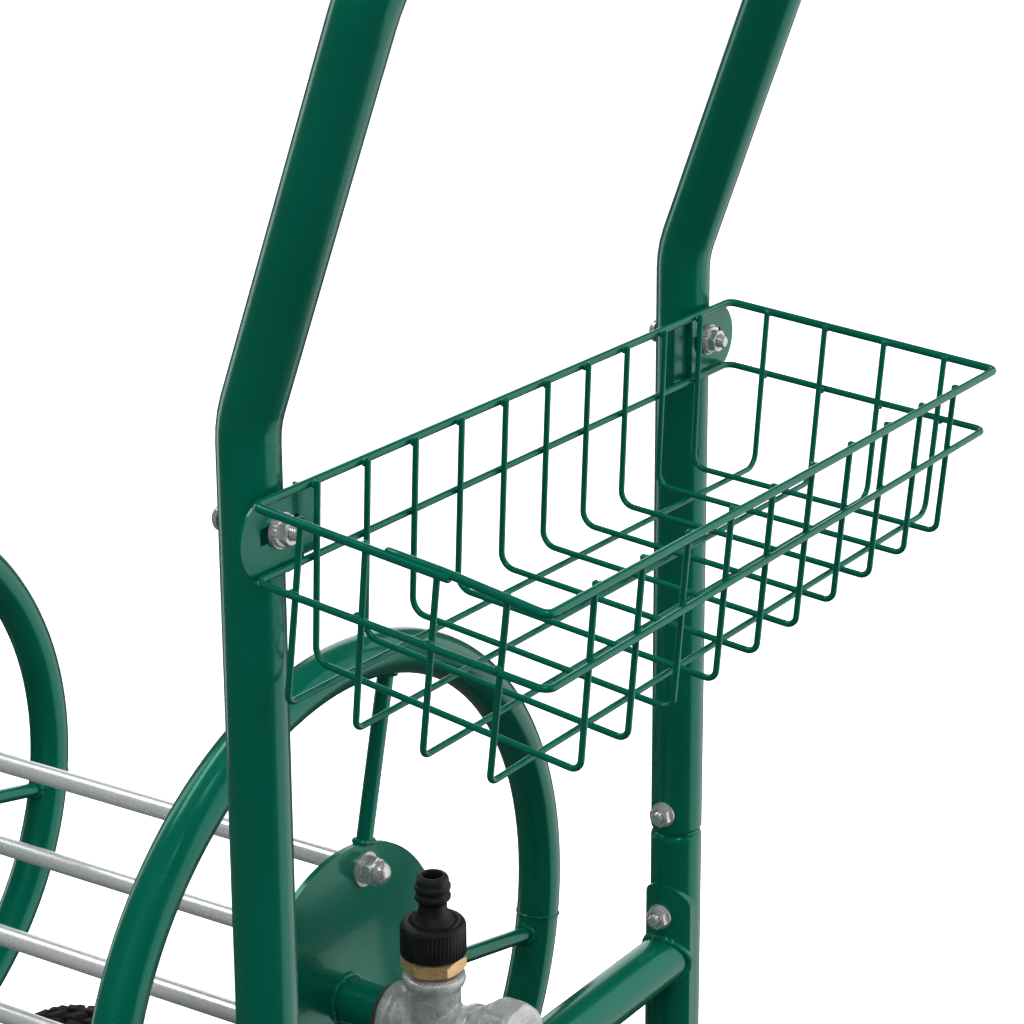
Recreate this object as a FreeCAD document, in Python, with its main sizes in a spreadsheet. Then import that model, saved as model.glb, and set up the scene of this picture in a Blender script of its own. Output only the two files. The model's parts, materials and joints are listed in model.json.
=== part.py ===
"""Garden hose reel cart: a four-wheeled tube frame that carries an open hose drum, with a
U-shaped push handle, a wire basket bolted to the uprights and a swivel water inlet.

Frame: +Z up, the floor at Z = 0 and the origin under the middle of the cart. The drum turns
about X. The operator stands at +X, where the handle, basket and water inlet are; the crank is
at -X. The axles lie along Y. "left" is -Y, as the operator sees it.
"""
import FreeCAD, Part
import Sketcher
import math
import os

from FreeCAD import Placement, Rotation, Vector

DIMENSIONS = {
    # round tube of the frame and handle
    "tube_od": 25.4, "tube_wall": 1.5, "post_y": 162.5, "upright_x": 230.6,
    "wheelbase_reach": 492.0, "rail_z": 132.5, "post_bend": 60.0, "front_post_top": 440.0,
    # upper handle, slipped over the necks of the rear posts
    "seam_z": 455.0, "neck_length": 45.0, "neck_gap": 0.2, "handle_bend_z": 752.0,
    "handle_lean": 20.0, "handle_bend": 45.0, "handle_corner": 70.0, "handle_top_z": 976.8,
    "grip_radius": 17.0, "grip_length": 170.0,
    # crossbars and their saddle plates
    "crossbar_z": 387.0, "plate_wall": 2.0, "saddle_height": 90.0, "saddle_top": 429.0,
    "saddle_width": 26.0, "saddle_bolt_z": 412.0, "sleeve_bolt_z": 467.0,
    # drum
    "axis_z": 409.0, "ring_radius": 168.1, "ring_od": 21.8, "rear_ring_back": 86.0,
    "ring_gap": 340.0, "disc_radius": 76.0, "disc_wall": 3.0, "spoke_od": 8.0,
    "rod_od": 9.8, "rod_stud_od": 8.0, "rod_circle": 63.3, "rod_phase": 14.4,
    "pipe_od": 21.3, "pipe_bore": 16.4, "crank_length": 120.0, "crank_bar": 24.0,
    "knob_radius": 14.0, "knob_length": 92.0, "knob_pin_od": 8.0,
    # inlet tee, swivel nut and hose adapter
    "tee_back": 33.6, "tee_run": 23.7, "tee_rise": 28.5, "tee_body_od": 27.0,
    "tee_bead_od": 33.0, "branch_bead_od": 30.0, "swivel_nut_radius": 23.2,
    "adapter_radius": 15.4,
    # basket, measured from the basket bolts
    "basket_z": 711.0, "rim_wire": 3.6, "ring_wire": 3.0, "mesh_wire": 2.7, "wire_bend": 7.0, "front_bend": 4.5,
    "rim_corner": 4.5, "basket_depth": 152.4, "rim_back_y": 180.0, "rim_front_y": 186.2,
    "rim_back_rise": 14.8, "rim_front_rise": 1.0, "basket_drop": 59.0, "floor_slope": 0.102,
    "cross_pitch_back": 32.4, "cross_pitch_front": 33.3, "floor_twist": 0.00015,
    "tab_radius": 16.4, "tab_wall": 1.2,
    # M6 frame fasteners
    "bolt_od": 6.0, "bolt_hole": 6.6, "hex_corner": 11.4, "head_height": 4.0,
    "nut_height": 5.0,
    # wheels
    "wheel_radius": 100.0, "tyre_width": 42.0, "rim_outer": 64.0, "wheel_y": 206.0,
    "axle_od": 12.0, "axle_clearance": 0.07, "front_axle_back": 440.0, "rear_axle_back": 16.0,
    "hub_width": 44.0, "hub_radius": 17.0,
}

X_AXIS = Vector(1, 0, 0)
Y_AXIS = Vector(0, 1, 0)
Z_AXIS = Vector(0, 0, 1)
TOUCH = 0.05          # gap between round faces that meet in one body
OVERRUN = 2.0         # how far a cutting tool passes the face it opens
CROSS_WIRES = 10
DRUM_ARMS = 4
SIDES = {"left": -1, "right": 1}

doc = FreeCAD.newDocument("hose_reel_cart")
sheet = doc.addObject("Spreadsheet::Sheet", "cart")
for row, (alias, value) in enumerate(DIMENSIONS.items(), start=1):
    sheet.set(f"A{row}", alias)
    sheet.set(f"B{row}", str(value))
    sheet.setAlias(f"B{row}", alias)
doc.recompute()


def size(alias):
    """A driving dimension, read back from the sheet."""
    return float(sheet.get(alias))


nodes = {}


def node(label, item):
    """Name a finished sub-part."""
    item.Label = label
    nodes[label] = item
    return item


# ---------------------------------------------------------------- primitives and booleans

def primitive(kind, placement, **sizes):
    """A Part primitive. Text is bound to the sheet as an expression, a number is set."""
    item = doc.addObject(f"Part::{kind}", kind.lower())
    for name, value in sizes.items():
        if isinstance(value, str):
            item.setExpression(name, value)
        else:
            setattr(item, name, value)
    item.Placement = placement
    return item


def along(point, direction):
    """Placement at a point with the local Z turned to a direction."""
    return Placement(Vector(point), Rotation(Z_AXIS, Vector(direction)))


def rod(point, direction, radius, height):
    return primitive("Cylinder", along(point, direction), Radius=radius, Height=height)


def fuse(items):
    if len(items) == 1:
        return items[0]
    item = doc.addObject("Part::MultiFuse", "fuse")
    item.Shapes = items
    item.Refine = True
    return item


def cut(base, tool):
    item = doc.addObject("Part::Cut", "cut")
    item.Base = base
    item.Tool = tool
    return item


def common(first, second):
    item = doc.addObject("Part::MultiCommon", "common")
    item.Shapes = [first, second]
    return item


def group(items):
    """Separate solids in one node."""
    item = doc.addObject("Part::Compound", "group")
    item.Links = items
    return item


def box(corner, length, width, height):
    placement = Placement(Vector(corner), Rotation())
    return primitive("Box", placement, Length=length, Width=width, Height=height)


def bent_rod(points, bends, radius, closed=False):
    """A round bar along straight runs joined by tangent bends.

    bends holds the radius of each bend, in order, as expressions of the sheet.
    """
    points = [Vector(point) for point in points]
    count = len(points)
    corners = range(count) if closed else range(1, count - 1)
    bends = [bends] * len(corners) if isinstance(bends, str) else bends
    pieces = []
    trims = {}
    for corner, bend in zip(corners, bends):
        inward = (points[corner] - points[corner - 1]).normalize()
        outward = (points[(corner + 1) % count] - points[corner]).normalize()
        turn = inward.getAngle(outward)
        bend_radius = float(sheet.evalExpression(bend))
        trims[corner] = bend_radius * math.tan(turn / 2)
        axis = inward.cross(outward).normalize()
        start = points[corner] - inward * trims[corner]
        centre = start + axis.cross(inward) * bend_radius
        radial = (start - centre).normalize()
        turned_to = Rotation(radial, axis.cross(radial), axis, "ZXY")
        pieces.append(primitive("Torus", Placement(centre, turned_to), Radius1=bend,
                                Radius2=radius, Angle3=math.degrees(turn)))
    for first in range(count if closed else count - 1):
        second = (first + 1) % count
        direction = (points[second] - points[first]).normalize()
        start = points[first] + direction * trims.get(first, 0.0)
        end = points[second] - direction * trims.get(second, 0.0)
        pieces.append(rod(start, direction, radius, (end - start).Length))
    return fuse(pieces)


def bent_tube(points, bends, outer, inner):
    """A bent tube, open at both ends."""
    points = [Vector(point) for point in points]
    longer = list(points)
    longer[0] = points[0] - (points[1] - points[0]).normalize() * OVERRUN
    longer[-1] = points[-1] + (points[-1] - points[-2]).normalize() * OVERRUN
    return cut(bent_rod(points, bends, outer), bent_rod(longer, bends, inner))


def turned(placement, outline):
    """A turned part: a closed outline of (along, radius) points, revolved about local X.

    Each point's two coordinates are expressions, bound as constraints of the sketch.
    """
    body = doc.addObject("PartDesign::Body", "turned")
    sketch = body.newObject("Sketcher::SketchObject", "outline")
    plane = next(item for item in body.Origin.OriginFeatures if item.Role == "XY_Plane")
    sketch.AttachmentSupport = [(plane, "")]
    sketch.MapMode = "FlatFace"
    at = [(float(sheet.evalExpression(a)), float(sheet.evalExpression(r))) for a, r in outline]
    lines = []
    for here, there in zip(at, at[1:] + at[:1]):
        segment = Part.LineSegment(Vector(*here, 0), Vector(*there, 0))
        lines.append(sketch.addGeometry(segment, False))
    for line, following in zip(lines, lines[1:] + lines[:1]):
        sketch.addConstraint(Sketcher.Constraint("Coincident", line, 2, following, 1))
    for line, (a, r), (a_value, r_value) in zip(lines, outline, at):
        for kind, expression, value in (("DistanceX", a, a_value), ("DistanceY", r, r_value)):
            if value == 0.0:
                held_by = -2 if kind == "DistanceX" else -1
                sketch.addConstraint(Sketcher.Constraint("PointOnObject", line, 1, held_by))
                continue
            index = sketch.addConstraint(Sketcher.Constraint(kind, -1, 1, line, 1, value))
            sketch.setExpression(f"Constraints[{index}]", expression)
    revolution = body.newObject("PartDesign::Revolution", "revolution")
    revolution.Profile = sketch
    revolution.ReferenceAxis = (sketch, ["H_Axis"])
    revolution.Angle = 360.0
    body.Tip = revolution
    body.Placement = placement
    return body


def facing(point, direction):
    """Placement at a point with the local X turned to a direction."""
    return Placement(Vector(point), Rotation(X_AXIS, Vector(direction)))


# ---------------------------------------------------------------- fasteners

def hex_prism(point, direction, corner, height):
    return primitive("Prism", along(point, direction), Polygon=6, Circumradius=corner,
                     Height=height)


def bolt(head, direction, length):
    """An M6 hex bolt: its head stands behind the point, its shank runs along direction."""
    direction = Vector(direction)
    back = Vector(head) - direction * size("head_height")
    return fuse([hex_prism(back, direction, "cart.hex_corner / 2", "cart.head_height"),
                 rod(head, direction, "cart.bolt_od / 2", length)])


def nut(face, direction):
    """An M6 hex nut that stands on a face."""
    body = hex_prism(face, direction, "cart.hex_corner / 2", "cart.nut_height")
    start = Vector(face) - Vector(direction) * OVERRUN
    return cut(body, rod(start, direction, f"cart.bolt_od / 2 + {TOUCH}",
                         f"cart.nut_height + 2 * {OVERRUN}"))


def washer(face, direction, outer, inner, height):
    start = Vector(face) - Vector(direction) * OVERRUN
    return cut(rod(face, direction, outer, height),
               rod(start, direction, inner, f"{height} + 2 * {OVERRUN}"))


def bolt_hole(centre, direction, reach):
    """A tool that opens the clearance hole of an M6 bolt, reach to each side of centre."""
    start = Vector(centre) - Vector(direction) * reach
    return rod(start, direction, "cart.bolt_hole / 2", 2 * reach)


# ---------------------------------------------------------------- shared places

UPRIGHT_X = size("upright_x")
FRONT_X = UPRIGHT_X - size("wheelbase_reach")
POST_Y = size("post_y")
TUBE_R = size("tube_od") / 2
AXIS_Z = size("axis_z")
REAR_RING_X = UPRIGHT_X - size("rear_ring_back")
FRONT_RING_X = REAR_RING_X - size("ring_gap")
SADDLE_OUTER = TUBE_R + TOUCH * 2 + size("plate_wall")
BOLT_REACH = 30.0
TUBE_OUTER = "cart.tube_od / 2"
TUBE_INNER = "cart.tube_od / 2 - cart.tube_wall"


# ---------------------------------------------------------------- frame tubes

def side_frame(sign):
    """Rear post, bottom rail and front post, bent from one tube, with a necked rear top."""
    y = sign * POST_Y
    shoulder = 3.5
    top = size("seam_z")
    route = [(UPRIGHT_X, y, top - shoulder), (UPRIGHT_X, y, size("rail_z")),
             (FRONT_X, y, size("rail_z")), (FRONT_X, y, size("front_post_top"))]
    bends = ["cart.post_bend", "cart.post_bend"]
    outer = bent_rod(route, bends, TUBE_OUTER)
    longer = [Vector(route[0]) + Z_AXIS * (shoulder - size("tube_wall"))] + route[1:-1]
    longer.append(Vector(route[-1]) + Z_AXIS * OVERRUN)
    bore = bent_rod(longer, bends, TUBE_INNER)
    neck_radius = f"{TUBE_INNER} - cart.neck_gap"
    shoulder_at = Vector(UPRIGHT_X, y, top - shoulder)
    rounding = primitive("Torus", along(shoulder_at, Z_AXIS), Radius1=f"{TUBE_OUTER} - {shoulder}",
                         Radius2=shoulder)
    collar = rod(shoulder_at, Z_AXIS, f"{TUBE_OUTER} - {shoulder}", shoulder)
    neck = rod(shoulder_at, Z_AXIS, neck_radius, f"cart.neck_length + {shoulder}")
    neck_bore = rod(shoulder_at - Z_AXIS * OVERRUN, Z_AXIS, f"{neck_radius} - cart.tube_wall",
                    f"cart.neck_length + {shoulder} + 2 * {OVERRUN}")
    tube = cut(fuse([outer, rounding, collar, neck]), fuse([bore, neck_bore]))
    holes = [bolt_hole((UPRIGHT_X, y, size("saddle_bolt_z")), Y_AXIS, BOLT_REACH),
             bolt_hole((UPRIGHT_X, y, size("sleeve_bolt_z")), Y_AXIS, BOLT_REACH),
             bolt_hole((FRONT_X, y, size("saddle_bolt_z")), Y_AXIS, BOLT_REACH)]
    return cut(tube, fuse(holes))


def saddle_plate(x, sign):
    """A round-topped plate wrapped round the inner side of a post."""
    post = Vector(x, sign * POST_Y, 0)
    top = size("saddle_top")
    low = top - size("saddle_height")
    base = post + Z_AXIS * low
    outer = rod(base, Z_AXIS, SADDLE_OUTER, "cart.saddle_height")
    shell = cut(outer, rod(base - Z_AXIS * OVERRUN, Z_AXIS, TUBE_R + 2 * TOUCH,
                           f"cart.saddle_height + 2 * {OVERRUN}"))
    half = size("saddle_width") / 2
    inner_y = -sign * SADDLE_OUTER
    near = min(inner_y, 0.0)
    slab = box(post + Vector(-half, near, low), "cart.saddle_width", SADDLE_OUTER,
               "cart.saddle_height - cart.saddle_width / 2")
    dome = rod(post + Vector(0, near, top - half), Y_AXIS, "cart.saddle_width / 2", SADDLE_OUTER)
    plate = common(shell, fuse([slab, dome]))
    return cut(plate, bolt_hole(post + Z_AXIS * size("saddle_bolt_z"), Y_AXIS, BOLT_REACH))


def crossbar(x, seat_radius):
    """The tube between two posts: ends shaped to the saddle plates, and a round seat on top."""
    start = Vector(x, -POST_Y, size("crossbar_z"))
    tube = cut(rod(start, Y_AXIS, TUBE_OUTER, 2 * POST_Y),
               rod(start - Y_AXIS * OVERRUN, Y_AXIS, TUBE_INNER, 2 * (POST_Y + OVERRUN)))
    seat = rod((x - BOLT_REACH, 0, AXIS_Z), X_AXIS, seat_radius, 2 * BOLT_REACH)
    mouths = [rod((x, sign * POST_Y, start.z - BOLT_REACH), Z_AXIS, SADDLE_OUTER + TOUCH,
                  2 * BOLT_REACH) for sign in SIDES.values()]
    return cut(tube, fuse([seat] + mouths))


for side, sign in SIDES.items():
    node(f"side_frame_{side}", side_frame(sign))

CRADLE_INNER = size("swivel_nut_radius") + TOUCH * 2
CRADLE_OUTER = CRADLE_INNER + size("plate_wall")
HOUSING_RADIUS = 17.0
node("rear_saddle_plates", group([saddle_plate(UPRIGHT_X, sign) for sign in SIDES.values()]))
node("front_saddle_plates", group([saddle_plate(FRONT_X, sign) for sign in SIDES.values()]))
swivel_bolt_hole = bolt_hole((UPRIGHT_X, 0, size("crossbar_z") - TUBE_R), Z_AXIS, 6.0)
node("rear_crossbar", cut(crossbar(UPRIGHT_X, CRADLE_OUTER + TOUCH), swivel_bolt_hole))
node("front_crossbar", crossbar(FRONT_X, HOUSING_RADIUS + TOUCH))

CAP_TOP = 4.0
CAP_PLUG = 10.0


def post_cap(sign):
    """The plug that closes the top of a front post."""
    top = Vector(FRONT_X, sign * POST_Y, size("front_post_top"))
    plug = rod(top - Z_AXIS * CAP_PLUG, Z_AXIS, f"{TUBE_INNER} - {TOUCH}", CAP_PLUG + CAP_TOP / 2)
    rim = rod(top, Z_AXIS, TUBE_OUTER, CAP_TOP / 2)
    dome = primitive("Cone", along(top + Z_AXIS * CAP_TOP / 2, Z_AXIS), Radius1=TUBE_OUTER,
                     Radius2=f"{TUBE_OUTER} - {CAP_TOP}", Height=CAP_TOP / 2)
    return fuse([plug, rim, dome])


node("post_caps", group([post_cap(sign) for sign in SIDES.values()]))


# ---------------------------------------------------------------- upper handle

def upper_handle():
    """The U-shaped handle: two feet over the necks, a lean towards the operator, a top bar."""
    rounding = 2.5
    foot_z = size("seam_z") + 0.4
    lean = math.radians(size("handle_lean"))
    bend_z = size("handle_bend_z")
    top_z = size("handle_top_z")
    top_x = UPRIGHT_X + (top_z - bend_z) * math.tan(lean)
    route = [(UPRIGHT_X, -POST_Y, foot_z + rounding), (UPRIGHT_X, -POST_Y, bend_z),
             (top_x, -POST_Y, top_z), (top_x, POST_Y, top_z), (UPRIGHT_X, POST_Y, bend_z),
             (UPRIGHT_X, POST_Y, foot_z + rounding)]
    bends = ["cart.handle_bend", "cart.handle_corner", "cart.handle_corner", "cart.handle_bend"]
    parts = [bent_rod(route, bends, TUBE_OUTER)]
    for sign in SIDES.values():
        foot = Vector(UPRIGHT_X, sign * POST_Y, foot_z + rounding)
        parts.append(primitive("Torus", along(foot, Z_AXIS), Radius1=f"{TUBE_OUTER} - {rounding}",
                               Radius2=rounding))
        parts.append(rod(foot - Z_AXIS * rounding, Z_AXIS, f"{TUBE_OUTER} - {rounding}", rounding))
    longer = [Vector(point) for point in route]
    for end in (0, -1):
        longer[end] = longer[end] - Z_AXIS * (rounding + OVERRUN)
    tools = [bent_rod(longer, bends, TUBE_INNER)]
    for sign in SIDES.values():
        post = Vector(UPRIGHT_X, sign * POST_Y, 0)
        tools.append(bolt_hole(post + Z_AXIS * size("sleeve_bolt_z"), Y_AXIS, BOLT_REACH))
        tools.append(bolt_hole(post + Z_AXIS * size("basket_z"), X_AXIS, BOLT_REACH))
    return cut(fuse(parts), fuse(tools)), Vector(top_x, 0, top_z)


handle, top_bar = upper_handle()
node("upper_handle", handle)
grip_start = top_bar - Y_AXIS * size("grip_length") / 2
node("handle_grip", washer(grip_start, Y_AXIS, "cart.grip_radius", f"{TUBE_OUTER} + {TOUCH}",
                           "cart.grip_length"))


# ---------------------------------------------------------------- frame fasteners

def frame_bolt(x, sign, z, inner_face):
    """Bolt across a post from its outer side, with its nut on the inner face."""
    inward = Vector(0, -sign, 0)
    head = Vector(x, sign * (POST_Y + TUBE_R + TOUCH), z)
    shank = TUBE_R + TOUCH + inner_face + size("nut_height") + 2.5
    face = Vector(x, sign * (POST_Y - inner_face - TOUCH), z)
    return bolt(head, inward, shank), nut(face, inward)


bolts = []
nuts = []
for sign in SIDES.values():
    for x, z, inner_face in ((UPRIGHT_X, size("sleeve_bolt_z"), TUBE_R),
                             (UPRIGHT_X, size("saddle_bolt_z"), SADDLE_OUTER),
                             (FRONT_X, size("saddle_bolt_z"), SADDLE_OUTER)):
        one_bolt, one_nut = frame_bolt(x, sign, z, inner_face)
        bolts.append(one_bolt)
        nuts.append(one_nut)
node("frame_bolts", group(bolts))
node("frame_nuts", group(nuts))


# ---------------------------------------------------------------- drum

def drum_point(x, angle, radius):
    """A point at an angle from straight up, turning towards +Y, about the drum's axis."""
    turn = math.radians(angle)
    return Vector(x, radius * math.sin(turn), AXIS_Z + radius * math.cos(turn))


ARM_ANGLES = [size("rod_phase") + arm * 360.0 / DRUM_ARMS for arm in range(DRUM_ARMS)]
SPOKE_ANGLES = [angle - lag for angle, lag in zip(ARM_ANGLES, (0.6, 2.2, 0.6, 2.2))]
DISC_HALF = size("disc_wall") / 2
WASHER_WALL = 1.6
STUD_LENGTH = 9.5
PIPE_R = size("pipe_od") / 2


def drum_ring(x):
    """The round tube hoop at one end of the drum."""
    place = along((x, 0, AXIS_Z), X_AXIS)
    outer = primitive("Torus", place, Radius1="cart.ring_radius", Radius2="cart.ring_od / 2")
    inner = primitive("Torus", place, Radius1="cart.ring_radius",
                      Radius2="cart.ring_od / 2 - cart.tube_wall")
    return cut(outer, inner)


def drum_spokes(x):
    """Straight spokes from the centre disc to the hoop."""
    start = size("disc_radius") + TOUCH
    end = size("ring_radius") - size("ring_od") / 2 - TOUCH
    spokes = []
    for angle in SPOKE_ANGLES:
        direction = drum_point(x, angle, 1.0) - drum_point(x, angle, 0.0)
        spokes.append(rod(drum_point(x, angle, start), direction, "cart.spoke_od / 2", end - start))
    return group(spokes)


def drum_disc(x):
    """The centre disc, with holes for the hub pipe and the tie rods' studs."""
    back = Vector(x - DISC_HALF, 0, AXIS_Z)
    disc = rod(back, X_AXIS, "cart.disc_radius", "cart.disc_wall")
    reach = f"cart.disc_wall + 2 * {OVERRUN}"
    tools = [rod(back - X_AXIS * OVERRUN, X_AXIS, f"cart.pipe_od / 2 + {TOUCH}", reach)]
    for angle in ARM_ANGLES:
        hole = drum_point(x - DISC_HALF - OVERRUN, angle, size("rod_circle"))
        tools.append(rod(hole, X_AXIS, f"cart.rod_stud_od / 2 + {TOUCH}", reach))
    return cut(disc, fuse(tools))


for name, ring_x in (("rear", REAR_RING_X), ("front", FRONT_RING_X)):
    node(f"{name}_ring", drum_ring(ring_x))
    node(f"{name}_spokes", drum_spokes(ring_x))
    node(f"{name}_disc", drum_disc(ring_x))


def tie_rod(angle):
    """A bar between the two discs, with a threaded stud at each end."""
    low = FRONT_RING_X + DISC_HALF
    high = REAR_RING_X - DISC_HALF
    stud = size("disc_wall") + WASHER_WALL + STUD_LENGTH
    start = drum_point(low, angle, size("rod_circle"))
    return fuse([rod(start, X_AXIS, "cart.rod_od / 2", high - low),
                 rod(start - X_AXIS * stud, X_AXIS, "cart.rod_stud_od / 2", high - low + 2 * stud)])


def dome_nut(face, direction):
    """A dome nut: a hex base with a ball-shaped cap, bored for the stud."""
    direction = Vector(direction)
    base_height = 6.5
    dome_radius = 6.2
    base = hex_prism(face, direction, 7.5, base_height)
    dome = primitive("Sphere", along(Vector(face) + direction * base_height, direction),
                     Radius=dome_radius)
    bore = rod(Vector(face) - direction * OVERRUN, direction, f"cart.rod_stud_od / 2 + {TOUCH}",
               OVERRUN + STUD_LENGTH + TOUCH)
    return cut(fuse([base, dome]), bore)


rod_washers = []
dome_nuts = []
for angle in ARM_ANGLES:
    for ring_x, sign in ((REAR_RING_X, 1), (FRONT_RING_X, -1)):
        outward = X_AXIS * sign
        face = drum_point(ring_x + sign * DISC_HALF, angle, size("rod_circle"))
        rod_washers.append(washer(face, outward, 8.5, f"cart.rod_stud_od / 2 + {TOUCH}",
                                  str(WASHER_WALL)))
        dome_nuts.append(dome_nut(face + outward * WASHER_WALL, outward))
node("tie_rods", group([tie_rod(angle) for angle in ARM_ANGLES]))
node("rod_washers", group(rod_washers))
node("dome_nuts", group(dome_nuts))

# Hub pipe: from the inlet tee through the rear disc, with the drum's outlet behind the disc.
TEE_X = UPRIGHT_X - size("tee_back")
TEE_LEFT = TEE_X - size("tee_run")
PIPE_START = REAR_RING_X - 38.0
PIPE_END = TEE_LEFT + 8.0
PIPE_PLUG = 3.0
OUTLET_X = REAR_RING_X - 22.0
OUTLET_ANGLE = size("rod_phase") + 135.0
OUTLET_RISE = 26.0
OUTLET_BORE = 5.5
outward = drum_point(0, OUTLET_ANGLE, 1.0) - drum_point(0, OUTLET_ANGLE, 0.0)
pipe = rod((PIPE_START, 0, AXIS_Z), X_AXIS, "cart.pipe_od / 2", PIPE_END - PIPE_START)
pipe_bore = rod((PIPE_START + PIPE_PLUG, 0, AXIS_Z), X_AXIS, "cart.pipe_bore / 2",
                PIPE_END - PIPE_START - PIPE_PLUG + OVERRUN)
outlet_hole = rod((OUTLET_X, 0, AXIS_Z), outward, OUTLET_BORE, PIPE_R + OVERRUN)
node("hub_pipe", cut(pipe, fuse([pipe_bore, outlet_hole])))

saddle_cut = rod((OUTLET_X - BOLT_REACH, 0, AXIS_Z), X_AXIS, f"cart.pipe_od / 2 + {TOUCH}",
                 2 * BOLT_REACH)
socket = rod(drum_point(OUTLET_X, OUTLET_ANGLE, PIPE_R - 5.0), outward, 10.5,
             OUTLET_RISE - PIPE_R + 5.0)
socket_bore = rod((OUTLET_X, 0, AXIS_Z), outward, OUTLET_BORE, OUTLET_RISE + OVERRUN)
node("outlet_socket", cut(socket, fuse([saddle_cut, socket_bore])))

TAIL_START = drum_point(OUTLET_X, OUTLET_ANGLE, OUTLET_RISE + TOUCH)
barbs = [("0", "9.0"), ("8", "9.0"), ("8", "6.2")]
for barb in range(4):
    barbs += [(f"{13 + 6 * barb}", "7.4"), (f"{18 + 6 * barb}", "6.2")]
tail_outline = [("0", "4.5")] + barbs + [("36", "5.6"), ("36", "4.5")]
node("hose_tail", turned(facing(TAIL_START, outward), tail_outline))

SHAFT_START = FRONT_X - 30.0
SHAFT_END = FRONT_RING_X + 8.0
node("crank_shaft", rod((SHAFT_START, 0, AXIS_Z), X_AXIS, "cart.pipe_od / 2",
                        SHAFT_END - SHAFT_START))

# Front bearing: a welded housing with a plastic bush, and a stop collar behind it.
HOUSING_HALF = 13.0
housing_start = Vector(FRONT_X - HOUSING_HALF, 0, AXIS_Z)
BUSH_OUTER = 13.0
node("bearing_housing", washer(housing_start, X_AXIS, str(HOUSING_RADIUS), str(BUSH_OUTER),
                               str(2 * HOUSING_HALF)))
node("bearing_bush", washer(housing_start - X_AXIS, X_AXIS, str(BUSH_OUTER - TOUCH),
                            "cart.pipe_od / 2 + cart.axle_clearance", str(2 * HOUSING_HALF + 2)))
node("stop_collar", washer((FRONT_X + HOUSING_HALF + 1.4, 0, AXIS_Z), X_AXIS, "15.0",
                           f"cart.pipe_od / 2 + {TOUCH}", "9"))

# ---------------------------------------------------------------- crank

CRANK_X = FRONT_X - HOUSING_HALF - 1.4
BAR_WALL = 5.0
BOSS_WIDTH = 14.0
KNOB_GAP = 0.5


def crank_arm():
    """A flat bar welded to a boss on the crank shaft, hanging straight down at rest."""
    boss = rod((CRANK_X - BOSS_WIDTH, 0, AXIS_Z), X_AXIS, "16", str(BOSS_WIDTH))
    bar_back = CRANK_X - BOSS_WIDTH
    length = size("crank_length")
    bar = box((bar_back, -size("crank_bar") / 2, AXIS_Z - length), BAR_WALL, "cart.crank_bar",
              "cart.crank_length")
    end = rod((bar_back, 0, AXIS_Z - length), X_AXIS, "cart.crank_bar / 2", BAR_WALL)
    pipe_hole = rod((bar_back - OVERRUN, 0, AXIS_Z), X_AXIS, f"cart.pipe_od / 2 + {TOUCH}",
                    BOSS_WIDTH + 2 * OVERRUN)
    pin_hole = rod((bar_back - OVERRUN, 0, AXIS_Z - length), X_AXIS,
                   f"cart.knob_pin_od / 2 + {TOUCH}", BAR_WALL + 2 * OVERRUN)
    set_hole = rod((CRANK_X - 4.5, 0, AXIS_Z), Z_AXIS, f"3 + {TOUCH}", 20.0)
    return cut(fuse([boss, bar, end]), fuse([pipe_hole, pin_hole, set_hole]))


node("crank_arm", crank_arm())
CRANK_END = Vector(CRANK_X - BOSS_WIDTH, 0, AXIS_Z - size("crank_length"))
node("crank_set_screw", bolt((CRANK_X - 4.5, 0, AXIS_Z + 16.0 + TOUCH), Vector(0, 0, -1), 5.2))
knob_start = CRANK_END - X_AXIS * KNOB_GAP
pin_length = size("knob_length") + 2 * KNOB_GAP
pin_head = rod(CRANK_END - X_AXIS * (pin_length + 3.0), X_AXIS, "6.5", "3")
pin_shank = rod(CRANK_END - X_AXIS * pin_length, X_AXIS, "cart.knob_pin_od / 2",
                pin_length + BAR_WALL + 7.0)
pin_nut = hex_prism(CRANK_END + X_AXIS * (BAR_WALL + TOUCH), X_AXIS, "7.5", "6")
node("crank_pin", fuse([pin_head, pin_shank, pin_nut]))
knob_bore = "cart.knob_pin_od / 2 + cart.axle_clearance"
knob_outline = [("0", knob_bore), ("0", "cart.knob_radius - 5"), ("5", "cart.knob_radius - 2"),
                ("cart.knob_length * 0.45", "cart.knob_radius"),
                ("cart.knob_length - 7", "cart.knob_radius - 2"),
                ("cart.knob_length", "cart.knob_radius - 5"), ("cart.knob_length", knob_bore)]
node("crank_knob", turned(facing(knob_start, -X_AXIS), knob_outline))


# ---------------------------------------------------------------- water inlet

def inlet_tee():
    """A malleable tee with beaded rims: the run along X, the branch straight up."""
    bead = 7.0
    body = "cart.tee_body_od / 2"
    right = TEE_X + size("tee_run")
    run = rod((TEE_LEFT, 0, AXIS_Z), X_AXIS, body, "2 * cart.tee_run")
    branch = rod((TEE_X, 0, AXIS_Z), Z_AXIS, "cart.tee_body_od / 2 - 0.6", "cart.tee_rise")
    left_bead = rod((TEE_LEFT, 0, AXIS_Z), X_AXIS, "cart.tee_bead_od / 2", bead)
    right_bead = rod((right - bead, 0, AXIS_Z), X_AXIS, "cart.tee_bead_od / 2", bead)
    top_bead = rod((TEE_X, 0, AXIS_Z + size("tee_rise") - bead), Z_AXIS,
                   "cart.branch_bead_od / 2", bead)
    socket = rod((TEE_LEFT - OVERRUN, 0, AXIS_Z), X_AXIS,
                 "cart.pipe_od / 2 + cart.axle_clearance", 14.0)
    waterway = rod((TEE_LEFT, 0, AXIS_Z), X_AXIS, "8.5", 2 * size("tee_run") + OVERRUN)
    branch_way = rod((TEE_X, 0, AXIS_Z), Z_AXIS, "9.5", size("tee_rise") + OVERRUN)
    return cut(fuse([run, branch, left_bead, right_bead, top_bead]),
               fuse([socket, waterway, branch_way]))


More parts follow.
